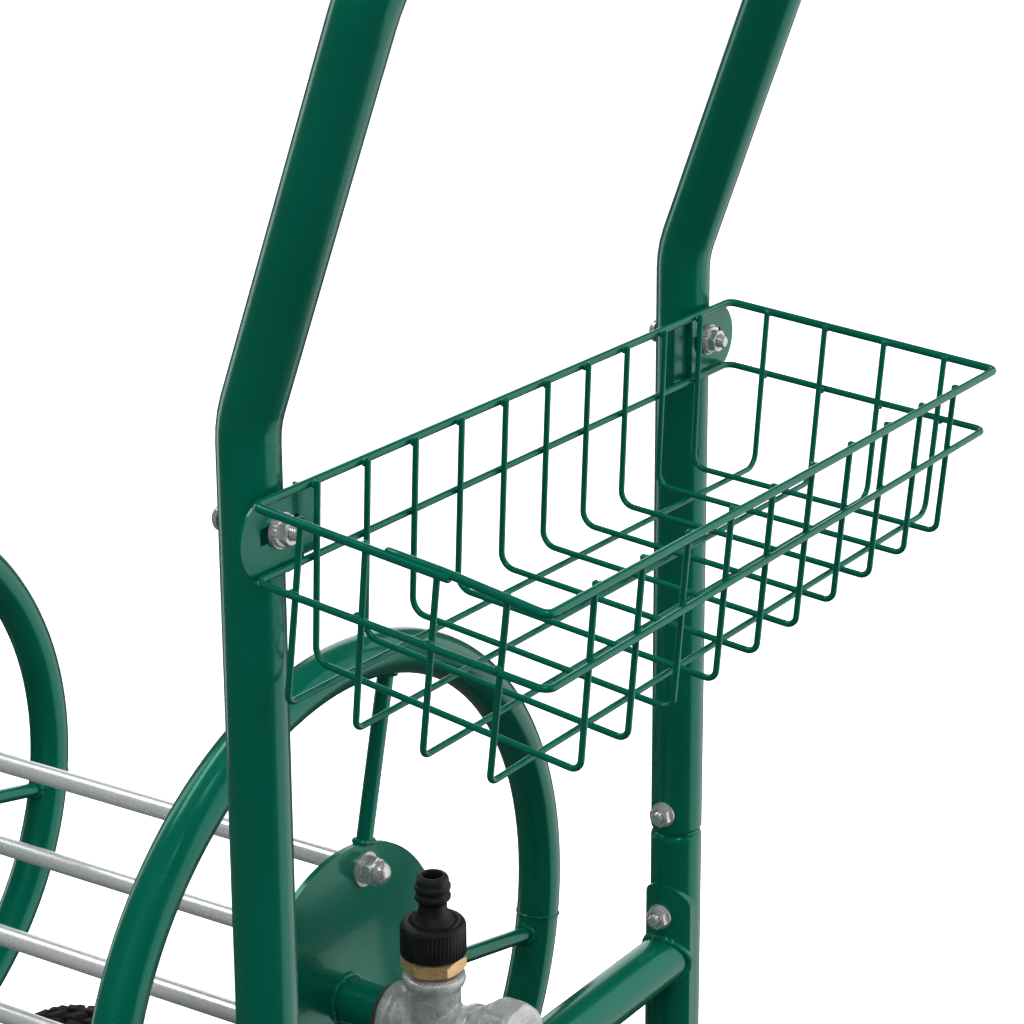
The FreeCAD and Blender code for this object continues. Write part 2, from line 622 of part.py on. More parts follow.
node("inlet_tee", inlet_tee())
node("inlet_gasket", washer((TEE_LEFT - 3.0 - TOUCH, 0, AXIS_Z), X_AXIS, "14",
                            "cart.pipe_od / 2 + cart.axle_clearance", "3"))
NUT_X = TEE_X + size("tee_run")
swivel_outline = [("-14", "0"), ("-14", "8.4"), ("0.1", "8.4"), ("0.1", "17"),
                  ("9", "cart.swivel_nut_radius - 0.8"), ("10", "cart.swivel_nut_radius"),
                  ("22.3", "cart.swivel_nut_radius"), ("24.3", "cart.swivel_nut_radius - 2"),
                  ("24.3", "0")]
swivel_nut = turned(facing((NUT_X, 0, AXIS_Z), X_AXIS),
                    [(f"14 + ({a})", r) for a, r in swivel_outline])
swivel_nut.Placement = facing((NUT_X - 14.0, 0, AXIS_Z), X_AXIS)
screw_hole = rod((UPRIGHT_X, 0, AXIS_Z - size("swivel_nut_radius") - OVERRUN), Z_AXIS,
                 f"cart.bolt_od / 2 + {TOUCH}", 12.0 + OVERRUN)
node("swivel_nut", cut(swivel_nut, screw_hole))
CRADLE_WIDTH = 14.0
cradle_start = Vector(UPRIGHT_X - CRADLE_WIDTH / 2, 0, AXIS_Z)
cradle = washer(cradle_start, X_AXIS, CRADLE_OUTER, CRADLE_INNER, str(CRADLE_WIDTH))
lower_half = box((UPRIGHT_X - CRADLE_WIDTH, -CRADLE_OUTER, AXIS_Z - 2 * CRADLE_OUTER),
                 2 * CRADLE_WIDTH, 2 * CRADLE_OUTER, 2 * CRADLE_OUTER - 8.0)
cradle_hole = bolt_hole((UPRIGHT_X, 0, AXIS_Z - CRADLE_OUTER), Z_AXIS, 6.0)
node("swivel_cradle", cut(common(cradle, lower_half), cradle_hole))
screw_head = Vector(UPRIGHT_X, 0, size("crossbar_z") - TUBE_R - TOUCH)
node("swivel_screw", bolt(screw_head, Z_AXIS, 22.0))

RIM_TOP = AXIS_Z + size("tee_rise")
node("thread_seal", washer((TEE_X, 0, RIM_TOP - 5.0), Z_AXIS, "9.4", "6.5", "7.2"))
bush = hex_prism((TEE_X, 0, RIM_TOP + 2.2), Z_AXIS, 15.4, 6.8)
stub = rod((TEE_X, 0, RIM_TOP + 9.0), Z_AXIS, 9.0, 6.0)
bush_bore = rod((TEE_X, 0, RIM_TOP), Z_AXIS, 6.5, 17.0)
node("brass_bushing", cut(fuse([bush, stub]), bush_bore))
collar_radius = "cart.adapter_radius"
adapter_outline = [("0", "9.05"), ("0", f"{collar_radius} - 1"), ("1", collar_radius),
                   ("15.3", collar_radius), ("16.5", f"{collar_radius} - 1.2"),
                   ("17.3", "10.9"), ("19", "10.7"), ("22.4", "6.9"), ("26.8", "6.7"),
                   ("28.8", "8.5"), ("30.6", "8.5"), ("32.0", "7.9"), ("33.2", "7.9"),
                   ("34.4", "8.5"), ("35.6", "8.5"), ("36.6", "7.9"), ("38.8", "7.6"),
                   ("40.4", "6.2"), ("40.4", "4.5"), ("6.5", "4.5"), ("6.5", "9.05")]
node("hose_adapter", turned(facing((TEE_X, 0, RIM_TOP + 9.05), Z_AXIS), adapter_outline))


# ---------------------------------------------------------------- basket

BASKET_Z = size("basket_z")
RIM_R = size("rim_wire") / 2
RING_R = size("ring_wire") / 2
MESH_R = size("mesh_wire") / 2
TAB_FACE = TUBE_R + TOUCH + size("tab_wall")
RIM_BACK = TAB_FACE + TOUCH + RIM_R
LEG_BACK = RIM_BACK + RIM_R + MESH_R + TOUCH + 0.7
LEG_FRONT = size("basket_depth") - RIM_R - MESH_R - TOUCH
BACK_STICK_UP = 1.2
SIDE_STICK_UP = 0.6
FRONT_STICK_UP = 0.7
FLOOR_BACK = LEG_BACK - 3.0


def basket_point(x, y, z):
    """A point measured from between the two basket bolts."""
    return Vector(UPRIGHT_X + x, y, BASKET_Z + z)


def rim_rise(x):
    share = (x - RIM_BACK) / (size("basket_depth") - RIM_BACK)
    return size("rim_back_rise") + share * (size("rim_front_rise") - size("rim_back_rise"))


def rim_half(x):
    share = (x - RIM_BACK) / (size("basket_depth") - RIM_BACK)
    return size("rim_back_y") + share * (size("rim_front_y") - size("rim_back_y"))


def floor_height(x, y):
    """Height of the cross wires' floor run, which slopes to the front and is a little twisted."""
    return (-size("basket_drop") - size("floor_slope") * (x - LEG_BACK)
            + size("floor_twist") * x * y)


def basket_rim():
    depth = size("basket_depth")
    corners = [basket_point(RIM_BACK, -rim_half(RIM_BACK), rim_rise(RIM_BACK)),
               basket_point(depth, -rim_half(depth), rim_rise(depth)),
               basket_point(depth, rim_half(depth), rim_rise(depth)),
               basket_point(RIM_BACK, rim_half(RIM_BACK), rim_rise(RIM_BACK))]
    return bent_rod(corners, "cart.rim_corner", "cart.rim_wire / 2", closed=True)


def basket_ring():
    """The second hoop, lower down, in front of the tabs' lower edges and of the front legs."""
    back, front = TAB_FACE + TOUCH + RING_R, LEG_FRONT + 0.4
    back_y, front_y = size("rim_back_y") - 0.4, size("rim_front_y") - 3.8
    corners = [basket_point(back, -back_y, -15.8), basket_point(front, -front_y, -29.6),
               basket_point(front, front_y, -27.2), basket_point(back, back_y, -15.8)]
    return bent_rod(corners, "cart.rim_corner", "cart.ring_wire / 2", closed=True)


def cross_wire(index):
    """A wire bent to a U: down the back, forward along the floor and up the front."""
    place = index - (CROSS_WIRES - 1) / 2
    back_y = place * size("cross_pitch_back")
    front_y = place * size("cross_pitch_front")
    front_foot = LEG_FRONT - 6.5
    route = [basket_point(LEG_BACK, back_y, rim_rise(RIM_BACK) + BACK_STICK_UP),
             basket_point(FLOOR_BACK, back_y, floor_height(FLOOR_BACK, back_y)),
             basket_point(front_foot, front_y, floor_height(front_foot, front_y)),
             basket_point(LEG_FRONT, front_y, rim_rise(size("basket_depth")) + FRONT_STICK_UP)]
    return bent_rod(route, ["cart.wire_bend", "cart.front_bend"], "cart.mesh_wire / 2")


def long_wire(left_top, right_top, left_foot, right_foot, left_drop):
    """A wire bent to a wide U under the cross wires, up to the rim at both ends."""
    foot_y = 173.5
    tops = []
    floor = []
    for sign, top_x, foot_x, drop in ((-1, left_top, left_foot, left_drop),
                                      (1, right_top, right_foot, 0.25)):
        top_y = rim_half(top_x) - RIM_R - MESH_R - TOUCH
        foot_z = floor_height(foot_x, sign * foot_y) - 2 * MESH_R - 2 * TOUCH
        tops.append(basket_point(top_x, sign * top_y, rim_rise(top_x) + SIDE_STICK_UP))
        floor.append(basket_point(foot_x, sign * foot_y, foot_z - drop))
    route = [tops[0], floor[0], floor[1], tops[1]]
    return bent_rod(route, ["cart.front_bend", "cart.wire_bend"], "cart.mesh_wire / 2")


LONG_WIRES = ((36.5, 37.4, 24.1, 34.4, 3.0), (67.5, 67.6, 56.5, 64.6, 2.0),
              (100.8, 98.0, 87.6, 95.0, 2.0), (132.5, 128.4, 118.0, 125.4, 1.5))
node("basket_rim", basket_rim())
node("basket_ring", basket_ring())
node("basket_cross_wires", group([cross_wire(index) for index in range(CROSS_WIRES)]))
node("basket_long_wires", group([long_wire(*wire) for wire in LONG_WIRES]))

TAB_CENTRE = -1.4
TAB_END = 169.8
TAB_JOG = 148.0
TAB_INNER = 136.0
JOG_DEPTH = 2.6
SLOT_HALF = 11.9
SLOT_RISE = 3.5


def basket_tab(sign):
    """A mounting tab: round outer end, slotted for the bolt, jogged back at its inner end."""
    wall = size("tab_wall")
    back = TUBE_R + TOUCH
    radius = "cart.tab_radius"
    low = TAB_CENTRE - size("tab_radius")
    round_end = rod(basket_point(back, sign * TAB_END, TAB_CENTRE), X_AXIS, radius,
                    "cart.tab_wall")
    flat = box(basket_point(back, min(sign * TAB_END, sign * TAB_JOG), low), "cart.tab_wall",
               TAB_END - TAB_JOG, "2 * cart.tab_radius")
    web = box(basket_point(back - JOG_DEPTH, min(sign * TAB_JOG, sign * (TAB_JOG + wall)), low),
              wall + JOG_DEPTH, wall, "2 * cart.tab_radius")
    tongue_low = low + 2.0
    tongue = box(basket_point(back - JOG_DEPTH, min(sign * TAB_JOG, sign * TAB_INNER), tongue_low),
                 "cart.tab_wall", TAB_JOG - TAB_INNER, "2 * cart.tab_radius - 4")
    start = back - OVERRUN
    reach = f"cart.tab_wall + 2 * {OVERRUN}"
    slot = box(basket_point(start, sign * POST_Y - SLOT_HALF, -SLOT_RISE), reach, 2 * SLOT_HALF,
               2 * SLOT_RISE)
    return cut(fuse([round_end, flat, web, tongue]), slot)


WASHER_FACE = TAB_FACE + 1.6
node("basket_tabs", group([basket_tab(sign) for sign in SIDES.values()]))
tab_bolts = []
tab_washers = []
tab_nuts = []
for sign in SIDES.values():
    head = basket_point(-TUBE_R - TOUCH, sign * POST_Y, 0)
    tab_bolts.append(bolt(head, X_AXIS, TUBE_R + TOUCH + WASHER_FACE + size("nut_height") + 3.0))
    tab_washers.append(washer(basket_point(TAB_FACE, sign * POST_Y, 0), X_AXIS, "7.2",
                              f"cart.bolt_od / 2 + {TOUCH}", "1.6"))
    tab_nuts.append(nut(basket_point(WASHER_FACE, sign * POST_Y, 0), X_AXIS))
node("basket_bolts", group(tab_bolts))
node("basket_washers", group(tab_washers))
node("basket_nuts", group(tab_nuts))


# ---------------------------------------------------------------- wheels and axles

AXLE_Z = size("wheel_radius")
AXLE_R = size("axle_od") / 2
BRACKET_WALL = 5.0
BRACKET_WIDTH = 34.0
AXLES = {"front": UPRIGHT_X - size("front_axle_back"), "rear": UPRIGHT_X - size("rear_axle_back")}
HUB_INNER = size("wheel_y") - size("hub_width") / 2
HUB_OUTER = size("wheel_y") + size("hub_width") / 2
CAP_HEIGHT = 6.0


def axle_bracket(x, sign):
    """A hanger welded under a rail, drilled for the axle."""
    y = sign * POST_Y - BRACKET_WALL / 2
    half = BRACKET_WIDTH / 2
    top = size("rail_z") - TUBE_R - TOUCH
    plate = box((x - half, y, AXLE_Z), BRACKET_WIDTH, BRACKET_WALL, top - AXLE_Z)
    end = rod((x, y, AXLE_Z), Y_AXIS, half, BRACKET_WALL)
    hole = rod((x, y - OVERRUN, AXLE_Z), Y_AXIS, f"cart.axle_od / 2 + {TOUCH}",
               BRACKET_WALL + 2 * OVERRUN)
    return cut(fuse([plate, end]), hole)


axles = []
brackets = []
spacers = []
wheel_washers = []
hub_caps = []
for x in AXLES.values():
    half_length = HUB_OUTER + 2.0
    axles.append(rod((x, -half_length, AXLE_Z), Y_AXIS, "cart.axle_od / 2", 2 * half_length))
    for sign in SIDES.values():
        outward = Y_AXIS * sign
        brackets.append(axle_bracket(x, sign))
        start = POST_Y + BRACKET_WALL / 2
        spacers.append(washer((x, sign * start, AXLE_Z), outward, "9.5",
                              f"cart.axle_od / 2 + {TOUCH}", str(HUB_INNER - 0.4 - start)))
        wheel_washers.append(washer((x, sign * (HUB_OUTER + 0.4), AXLE_Z), outward, "12",
                                    f"cart.axle_od / 2 + {TOUCH}", "1.5"))
        cap_start = Vector(x, sign * (HUB_OUTER + 1.9), AXLE_Z)
        dome = primitive("Cone", along(cap_start + outward * 3.0, outward), Radius1="9.5",
                         Radius2="5", Height=CAP_HEIGHT - 3.0)
        shell = fuse([rod(cap_start, outward, "9.5", 3.0), dome])
        pocket = rod(cap_start - outward, outward, f"cart.axle_od / 2 + {TOUCH}", 2.0)
        hub_caps.append(cut(shell, pocket))
node("axles", group(axles))
node("axle_brackets", group(brackets))
node("axle_spacers", group(spacers))
node("wheel_washers", group(wheel_washers))
node("hub_caps", group(hub_caps))

HUB_BORE = "cart.axle_od / 2 + cart.axle_clearance"
HALF_HUB = "cart.hub_width / 2"
RIM_EDGE = "cart.rim_outer"
wheel_outline = [
    ("0", HUB_BORE), ("0", "cart.hub_radius"), ("14", "cart.hub_radius"), ("17", "24"),
    (f"{HALF_HUB} - 3", "44"), (f"{HALF_HUB} - 3", f"{RIM_EDGE} - 7"),
    (f"{HALF_HUB} - 17", f"{RIM_EDGE} - 5"), (f"{HALF_HUB} - 17", RIM_EDGE),
    (f"{HALF_HUB} + 17", RIM_EDGE), (f"{HALF_HUB} + 17", f"{RIM_EDGE} - 5"),
    (f"{HALF_HUB} + 3", f"{RIM_EDGE} - 7"), (f"{HALF_HUB} + 3", "44"),
    ("cart.hub_width - 17", "24"), ("cart.hub_width - 14", "cart.hub_radius"),
    ("cart.hub_width", "cart.hub_radius"), ("cart.hub_width", HUB_BORE)]
tread = "cart.wheel_radius"
half_tyre = "cart.tyre_width / 2"
tyre_outline = [
    (f"{half_tyre} - 16", f"{RIM_EDGE} + {TOUCH}"), (f"{half_tyre} - 19", f"{RIM_EDGE} + 5"),
    (f"{half_tyre} - 20.9", f"{RIM_EDGE} + 14"), (f"{half_tyre} - 20.5", f"{tread} - 12"),
    (f"{half_tyre} - 18", f"{tread} - 5"), (f"{half_tyre} - 12", f"{tread} - 1.5"),
    (f"{half_tyre} - 5", tread), (f"{half_tyre} + 5", tread),
    (f"{half_tyre} + 12", f"{tread} - 1.5"), (f"{half_tyre} + 18", f"{tread} - 5"),
    (f"{half_tyre} + 20.5", f"{tread} - 12"), (f"{half_tyre} + 20.9", f"{RIM_EDGE} + 14"),
    (f"{half_tyre} + 19", f"{RIM_EDGE} + 5"), (f"{half_tyre} + 16", f"{RIM_EDGE} + {TOUCH}")]
for name, x in AXLES.items():
    for side, sign in SIDES.items():
        centre_y = sign * size("wheel_y")
        hub_at = facing((x, centre_y - size("hub_width") / 2, AXLE_Z), Y_AXIS)
        tyre_at = facing((x, centre_y - size("tyre_width") / 2, AXLE_Z), Y_AXIS)
        node(f"wheel_{name}_{side}", turned(hub_at, wheel_outline))
        node(f"tyre_{name}_{side}", turned(tyre_at, tyre_outline))


# ---------------------------------------------------------------- check and write

def main():
    doc.recompute()
    for item in doc.Objects:
        if {"Invalid", "Error"} & set(item.State):
            raise RuntimeError(f"{item.Name} ({item.Label}) failed: {item.State}")
    os.makedirs("parts", exist_ok=True)
    whole = FreeCAD.BoundBox()
    for label, item in nodes.items():
        shape = item.Shape
        if shape.isNull() or not shape.isValid() or not shape.Solids:
            raise RuntimeError(f"{label} has no sound solid")
        shape.exportStep(f"parts/{label}.step")
        whole.add(shape.BoundBox)
    print(f"{len(nodes)} sub-parts")
    print(f"X {whole.XMin:.2f} {whole.XMax:.2f}  Y {whole.YMin:.2f} {whole.YMax:.2f}  "
          f"Z {whole.ZMin:.2f} {whole.ZMax:.2f}")


main()
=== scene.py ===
"""Looks of the garden hose reel cart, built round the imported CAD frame."""
import json
import math

import bpy
from mathutils import Matrix, Vector, noise

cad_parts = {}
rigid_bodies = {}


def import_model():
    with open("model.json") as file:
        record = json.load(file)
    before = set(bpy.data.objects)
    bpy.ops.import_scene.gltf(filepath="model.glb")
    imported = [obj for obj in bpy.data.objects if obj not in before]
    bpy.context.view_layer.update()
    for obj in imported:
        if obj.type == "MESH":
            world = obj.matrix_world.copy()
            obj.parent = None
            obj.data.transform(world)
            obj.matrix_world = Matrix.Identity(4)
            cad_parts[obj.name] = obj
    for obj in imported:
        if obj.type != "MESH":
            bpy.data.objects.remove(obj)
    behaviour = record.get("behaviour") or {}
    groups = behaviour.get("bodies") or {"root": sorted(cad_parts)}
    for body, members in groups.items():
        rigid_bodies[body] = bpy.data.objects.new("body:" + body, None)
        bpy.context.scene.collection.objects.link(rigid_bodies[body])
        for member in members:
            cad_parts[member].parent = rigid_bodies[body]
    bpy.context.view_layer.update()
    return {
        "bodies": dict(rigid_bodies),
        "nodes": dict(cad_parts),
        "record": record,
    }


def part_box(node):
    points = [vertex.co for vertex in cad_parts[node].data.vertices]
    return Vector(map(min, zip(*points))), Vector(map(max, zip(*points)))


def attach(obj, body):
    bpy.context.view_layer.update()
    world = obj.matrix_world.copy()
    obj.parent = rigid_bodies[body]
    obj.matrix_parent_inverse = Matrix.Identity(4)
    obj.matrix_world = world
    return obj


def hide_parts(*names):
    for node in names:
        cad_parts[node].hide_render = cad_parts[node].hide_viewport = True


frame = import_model()

MM = 0.001
X_AXIS, Y_AXIS, Z_AXIS = Vector((1, 0, 0)), Vector((0, 1, 0)), Vector((0, 0, 1))


def centre(node):
    low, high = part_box(node)
    return (low + high) / 2


# ---------------------------------------------------------------- places read from the CAD

LEFT_LOW, LEFT_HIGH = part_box("side_frame_left")
TUBE_R = 12.7 * MM
UPRIGHT_X = LEFT_HIGH.x - TUBE_R
FRONT_X = LEFT_LOW.x + TUBE_R
POST_Y = -(LEFT_LOW.y + LEFT_HIGH.y) / 2
AXIS_Z = centre("rear_ring").z
BASKET_Z = centre("basket_bolts").z
TEE_X = centre("thread_seal").x
RING_X = {"rear": centre("rear_ring").x, "front": centre("front_ring").x}
HOOP_R = (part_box("rear_ring")[1].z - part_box("rear_ring")[0].z) / 2
HOOP_TUBE_R = (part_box("rear_ring")[1].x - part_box("rear_ring")[0].x) / 2
HOOP_CENTRE_R = HOOP_R - HOOP_TUBE_R


# ---------------------------------------------------------------- node materials

class Material:
    """A Principled material and short ways to build its node tree.

    Coordinates are the row frame's, in metres, so the detail keeps its real size.
    """

    def __init__(self, name, **sockets):
        self.data = bpy.data.materials.new(name)
        self.data.use_nodes = True
        self.nodes = self.data.node_tree.nodes
        self.links = self.data.node_tree.links
        self.shader = self.nodes["Principled BSDF"]
        for socket, value in sockets.items():
            self.shader.inputs[socket.replace("_", " ")].default_value = value
        self.coordinates = self.nodes.new("ShaderNodeTexCoord").outputs["Object"]

    def put(self, kind, **inputs):
        made = self.nodes.new(kind)
        for name, value in inputs.items():
            socket = made.inputs[name.replace("_", " ")]
            if isinstance(value, bpy.types.NodeSocket):
                self.links.new(value, socket)
            else:
                socket.default_value = value
        return made

    def space(self, stretch):
        """The coordinates, scaled by a number along each axis."""
        return self.put("ShaderNodeMapping", Vector=self.coordinates, Scale=stretch).outputs[0]

    def noise(self, scale, detail=3.0, roughness=0.55, stretch=None, distortion=0.0):
        vector = self.space(stretch) if stretch else self.coordinates
        return self.put("ShaderNodeTexNoise", Vector=vector, Scale=scale, Detail=detail,
                        Roughness=roughness, Distortion=distortion).outputs["Fac"]

    def cells(self, scale, feature="F1", output="Distance", stretch=None):
        vector = self.space(stretch) if stretch else self.coordinates
        made = self.put("ShaderNodeTexVoronoi", Vector=vector, Scale=scale)
        made.feature = feature
        return made.outputs[output]

    def ramp(self, value, *stops):
        made = self.put("ShaderNodeValToRGB", Fac=value)
        ramp = made.color_ramp
        while len(ramp.elements) < len(stops):
            ramp.elements.new(0.5)
        for element, (place, colour) in zip(ramp.elements, stops):
            element.position = place
            shade = (colour, colour, colour) if isinstance(colour, (int, float)) else colour
            element.color = (*shade, 1.0)
        return made.outputs["Color"]

    def maths(self, operation, first, second=0.5):
        made = self.nodes.new("ShaderNodeMath")
        made.operation = operation
        for socket, value in zip(made.inputs, (first, second)):
            if isinstance(value, bpy.types.NodeSocket):
                self.links.new(value, socket)
            else:
                socket.default_value = value
        return made.outputs[0]

    def mix(self, first, second, factor, blend="MIX"):
        made = self.nodes.new("ShaderNodeMix")
        made.data_type = "RGBA"
        made.blend_type = blend
        for index, value in ((0, factor), (6, first), (7, second)):
            if isinstance(value, bpy.types.NodeSocket):
                self.links.new(value, made.inputs[index])
            else:
                made.inputs[index].default_value = value if index == 0 else (*value, 1.0)
        return made.outputs[2]

    def drive(self, **sockets):
        for name, value in sockets.items():
            self.links.new(value, self.shader.inputs[name.replace("_", " ")])

    def bump(self, *layers):
        """Stack bump layers of (height, distance in metres, strength)."""
        normal = None
        for height, distance, strength in layers:
            made = self.put("ShaderNodeBump", Height=height, Distance=distance,
                            Strength=strength)
            if normal is not None:
                self.links.new(normal, made.inputs["Normal"])
            normal = made.outputs["Normal"]
        self.links.new(normal, self.shader.inputs["Normal"])


def powder_coat():
    made = Material("green_powder_coat", Coat_Weight=0.3, Coat_Roughness=0.07,
                    Specular_IOR_Level=1.0, Specular_Tint=(0.12, 1.0, 0.74, 1.0))
    deep, fresh, dusty = (0.0, 0.084, 0.05), (0.0, 0.1, 0.062), (0.002, 0.12, 0.078)
    cloud = made.noise(9.0, 4.0)
    base = made.mix(deep, fresh, made.ramp(cloud, (0.3, 0.0), (0.7, 1.0)))
    fleck = made.noise(1400.0, 2.0, 0.6)
    base = made.mix(base, dusty, made.ramp(fleck, (0.62, 0.0), (0.86, 0.22)))
    scuffs = made.noise(70.0, 6.0, 0.7, (1.0, 1.0, 0.15))
    base = made.mix(base, (0.004, 0.135, 0.092), made.ramp(scuffs, (0.68, 0.0), (0.8, 0.2)))
    made.drive(Base_Color=base,
               Roughness=made.ramp(made.noise(34.0, 5.0), (0.3, 0.2), (0.75, 0.3)))
    made.bump((made.noise(330.0, 1.5, 0.4), 0.00016, 0.22),
              (made.noise(60.0, 2.0, 0.4), 0.0007, 0.1),
              (made.noise(2600.0, 1.0), 0.00004, 0.15))
    return made.data


def zinc():
    made = Material("bright_zinc", Metallic=0.8, Specular_IOR_Level=0.5)
    patch = made.noise(240.0, 4.0, 0.6)
    colour = made.ramp(patch, (0.25, (0.72, 0.73, 0.75)), (0.55, (0.84, 0.84, 0.84)),
                       (0.8, (0.88, 0.86, 0.82)))
    stain = made.noise(60.0, 5.0, 0.65)
    colour = made.mix(colour, (0.33, 0.33, 0.34), made.ramp(stain, (0.64, 0.0), (0.84, 0.3)))
    made.drive(Base_Color=colour,
               Roughness=made.ramp(made.noise(500.0, 4.0), (0.3, 0.16), (0.75, 0.38)))
    made.bump((made.noise(700.0, 2.0), 0.00007, 0.2), (made.noise(3400.0, 2.0), 0.00003, 0.2))
    return made.data


def galvanised():
    made = Material("galvanised_casting", Metallic=0.72)
    crystal = made.cells(210.0, "F1", "Color")
    grey = made.ramp(crystal, (0.1, (0.6, 0.62, 0.61)), (0.5, (0.7, 0.72, 0.71)),
                     (0.9, (0.78, 0.8, 0.79)))
    soot = made.noise(95.0, 7.0, 0.72)
    grey = made.mix(grey, (0.13, 0.13, 0.135), made.ramp(soot, (0.54, 0.0), (0.76, 0.6)))
    pit = made.cells(760.0, "F1", "Distance")
    grey = made.mix((0.16, 0.16, 0.165), grey, made.ramp(pit, (0.08, 0.0), (0.24, 1.0)))
    made.drive(Base_Color=grey,
               Roughness=made.ramp(made.noise(160.0, 6.0), (0.3, 0.3), (0.7, 0.46)))
    made.bump((made.noise(330.0, 4.0, 0.6), 0.0007, 0.5), (pit, 0.0003, 0.3),
              (made.noise(2100.0, 3.0), 0.0001, 0.4))
    return made.data


def drawn_rod():
    made = Material("drawn_rod", Metallic=0.6)
    streak = made.noise(900.0, 3.0, 0.6, (0.02, 1.0, 1.0))
    colour = made.ramp(streak, (0.3, (0.78, 0.8, 0.81)), (0.7, (0.86, 0.875, 0.88)))
    stain = made.noise(22.0, 6.0, 0.7, (0.5, 1.0, 1.0))
    colour = made.mix(colour, (0.36, 0.37, 0.38), made.ramp(stain, (0.6, 0.0), (0.84, 0.22)))
    made.drive(Base_Color=colour,
               Roughness=made.ramp(made.noise(110.0, 5.0), (0.3, 0.2), (0.7, 0.32)))
    made.bump((streak, 0.00005, 0.2), (made.noise(1500.0, 2.0), 0.00003, 0.15))
    return made.data


def brass():
    made = Material("machined_brass", Metallic=0.7)
    tone = made.noise(150.0, 5.0, 0.65)
    colour = made.ramp(tone, (0.3, (0.76, 0.46, 0.22)), (0.55, (0.9, 0.6, 0.3)),
                       (0.8, (0.96, 0.7, 0.38)))
    lines = made.noise(2600.0, 2.0, 0.5, (0.05, 0.05, 1.0))
    made.drive(Base_Color=colour, Roughness=made.ramp(lines, (0.3, 0.22), (0.7, 0.4)))
    made.bump((lines, 0.00008, 0.4), (made.noise(1100.0, 3.0), 0.00012, 0.25))
    return made.data


def black_moulding():
    made = Material("black_moulding", Specular_IOR_Level=0.35)
    wear = made.noise(85.0, 6.0, 0.7)
    colour = made.ramp(wear, (0.35, (0.005, 0.005, 0.006)), (0.62, (0.01, 0.01, 0.011)),
                       (0.8, (0.03, 0.03, 0.031)))
    made.drive(Base_Color=colour,
               Roughness=made.ramp(made.noise(260.0, 4.0), (0.3, 0.33), (0.7, 0.52)))
    made.bump((made.noise(2300.0, 2.0, 0.6), 0.00014, 0.4), (made.noise(240.0, 3.0), 0.0003, 0.15))
    return made.data


def foam_rubber():
    made = Material("foam_rubber", Sheen_Weight=0.25, Sheen_Roughness=0.5)
    # Pore dents. The foam is also painted darker towards each pore: painted shade in the pores.
    pore_dents_and_painted_shade = made.cells(1300.0, "F1", "Distance")
    colour = made.mix((0.006, 0.006, 0.006), (0.03, 0.03, 0.03),
                      made.ramp(pore_dents_and_painted_shade, (0.1, 0.0), (0.5, 1.0)))
    made.drive(Base_Color=colour,
               Roughness=made.ramp(made.noise(90.0, 4.0), (0.3, 0.72), (0.7, 0.92)))
    made.bump((pore_dents_and_painted_shade, 0.0003, 0.6), (made.noise(160.0, 4.0), 0.0008, 0.3))
    return made.data


def tyre_rubber():
    made = Material("tyre_rubber", Specular_IOR_Level=0.4)
    dust = made.noise(55.0, 7.0, 0.75)
    colour = made.mix((0.012, 0.012, 0.0125), (0.075, 0.07, 0.062),
                      made.ramp(dust, (0.5, 0.0), (0.78, 0.5)))
    made.drive(Base_Color=colour,
               Roughness=made.ramp(made.noise(120.0, 5.0), (0.3, 0.55), (0.7, 0.82)))
    made.bump((made.noise(1200.0, 4.0, 0.6), 0.0003, 0.5), (made.noise(150.0, 3.0), 0.001, 0.2))
    return made.data


def wheel_plastic():
    made = Material("wheel_plastic", Coat_Weight=0.2, Coat_Roughness=0.3)
    scuff = made.noise(65.0, 6.0, 0.7)
    colour = made.ramp(scuff, (0.4, (0.014, 0.014, 0.015)), (0.75, (0.05, 0.05, 0.05)))
    made.drive(Base_Color=colour,
               Roughness=made.ramp(made.noise(300.0, 4.0), (0.3, 0.34), (0.7, 0.5)))
    made.bump((made.noise(1700.0, 2.0), 0.00012, 0.35))
    return made.data


def axle_steel():
    made = Material("axle_steel", Metallic=1.0)
    lines = made.noise(1500.0, 2.0, 0.5, (1.0, 0.03, 1.0))
    rust = made.noise(75.0, 7.0, 0.75)
    colour = made.mix((0.55, 0.55, 0.55), (0.22, 0.13, 0.08),
                      made.ramp(rust, (0.6, 0.0), (0.8, 0.6)))
    made.drive(Base_Color=colour, Roughness=made.ramp(lines, (0.3, 0.28), (0.7, 0.46)))
    made.bump((lines, 0.00008, 0.35))
    return made.data


def thread_seal_paste():
    made = Material("thread_seal_paste")
    clot = made.noise(420.0, 5.0, 0.7)
    colour = made.ramp(clot, (0.35, (0.03, 0.004, 0.004)), (0.7, (0.2, 0.02, 0.016)))
    made.drive(Base_Color=colour, Roughness=made.ramp(clot, (0.3, 0.3), (0.7, 0.6)))
    made.bump((clot, 0.0012, 0.7))
    return made.data


MATERIALS = {
    "green_frame": powder_coat(), "zinc_hardware": zinc(), "galvanised": galvanised(),
    "silver_rod": drawn_rod(), "brass": brass(), "black_plastic": black_moulding(),
    "black_rubber": foam_rubber(), "tyre_rubber": tyre_rubber(), "seal": thread_seal_paste(),
    "grey_wheel": wheel_plastic(), "axle_steel": axle_steel(),
}
SLOT_OF = {part["node"]: part["material_slot"] for part in frame["record"]["subparts"]}
SMOOTH_ANGLE = math.radians(32)
for name, node in frame["nodes"].items():
    node.data.materials.clear()
    node.data.materials.append(MATERIALS[SLOT_OF[name]])
    node.data.shade_smooth()
    node.data.set_sharp_from_angle(angle=SMOOTH_ANGLE)


# ---------------------------------------------------------------- mesh building

def turned_to(origin, direction, up=None):
    """The matrix that takes local Z to a direction and local X towards up, at a point."""
    z = Vector(direction).normalized()
    x = Vector(up) if up is not None else (X_AXIS if abs(z.x) < 0.9 else Y_AXIS)
    x = (x - z * x.dot(z)).normalized()
    turn = Matrix((x, z.cross(x), z)).transposed().to_4x4()
    return Matrix.Translation(Vector(origin)) @ turn


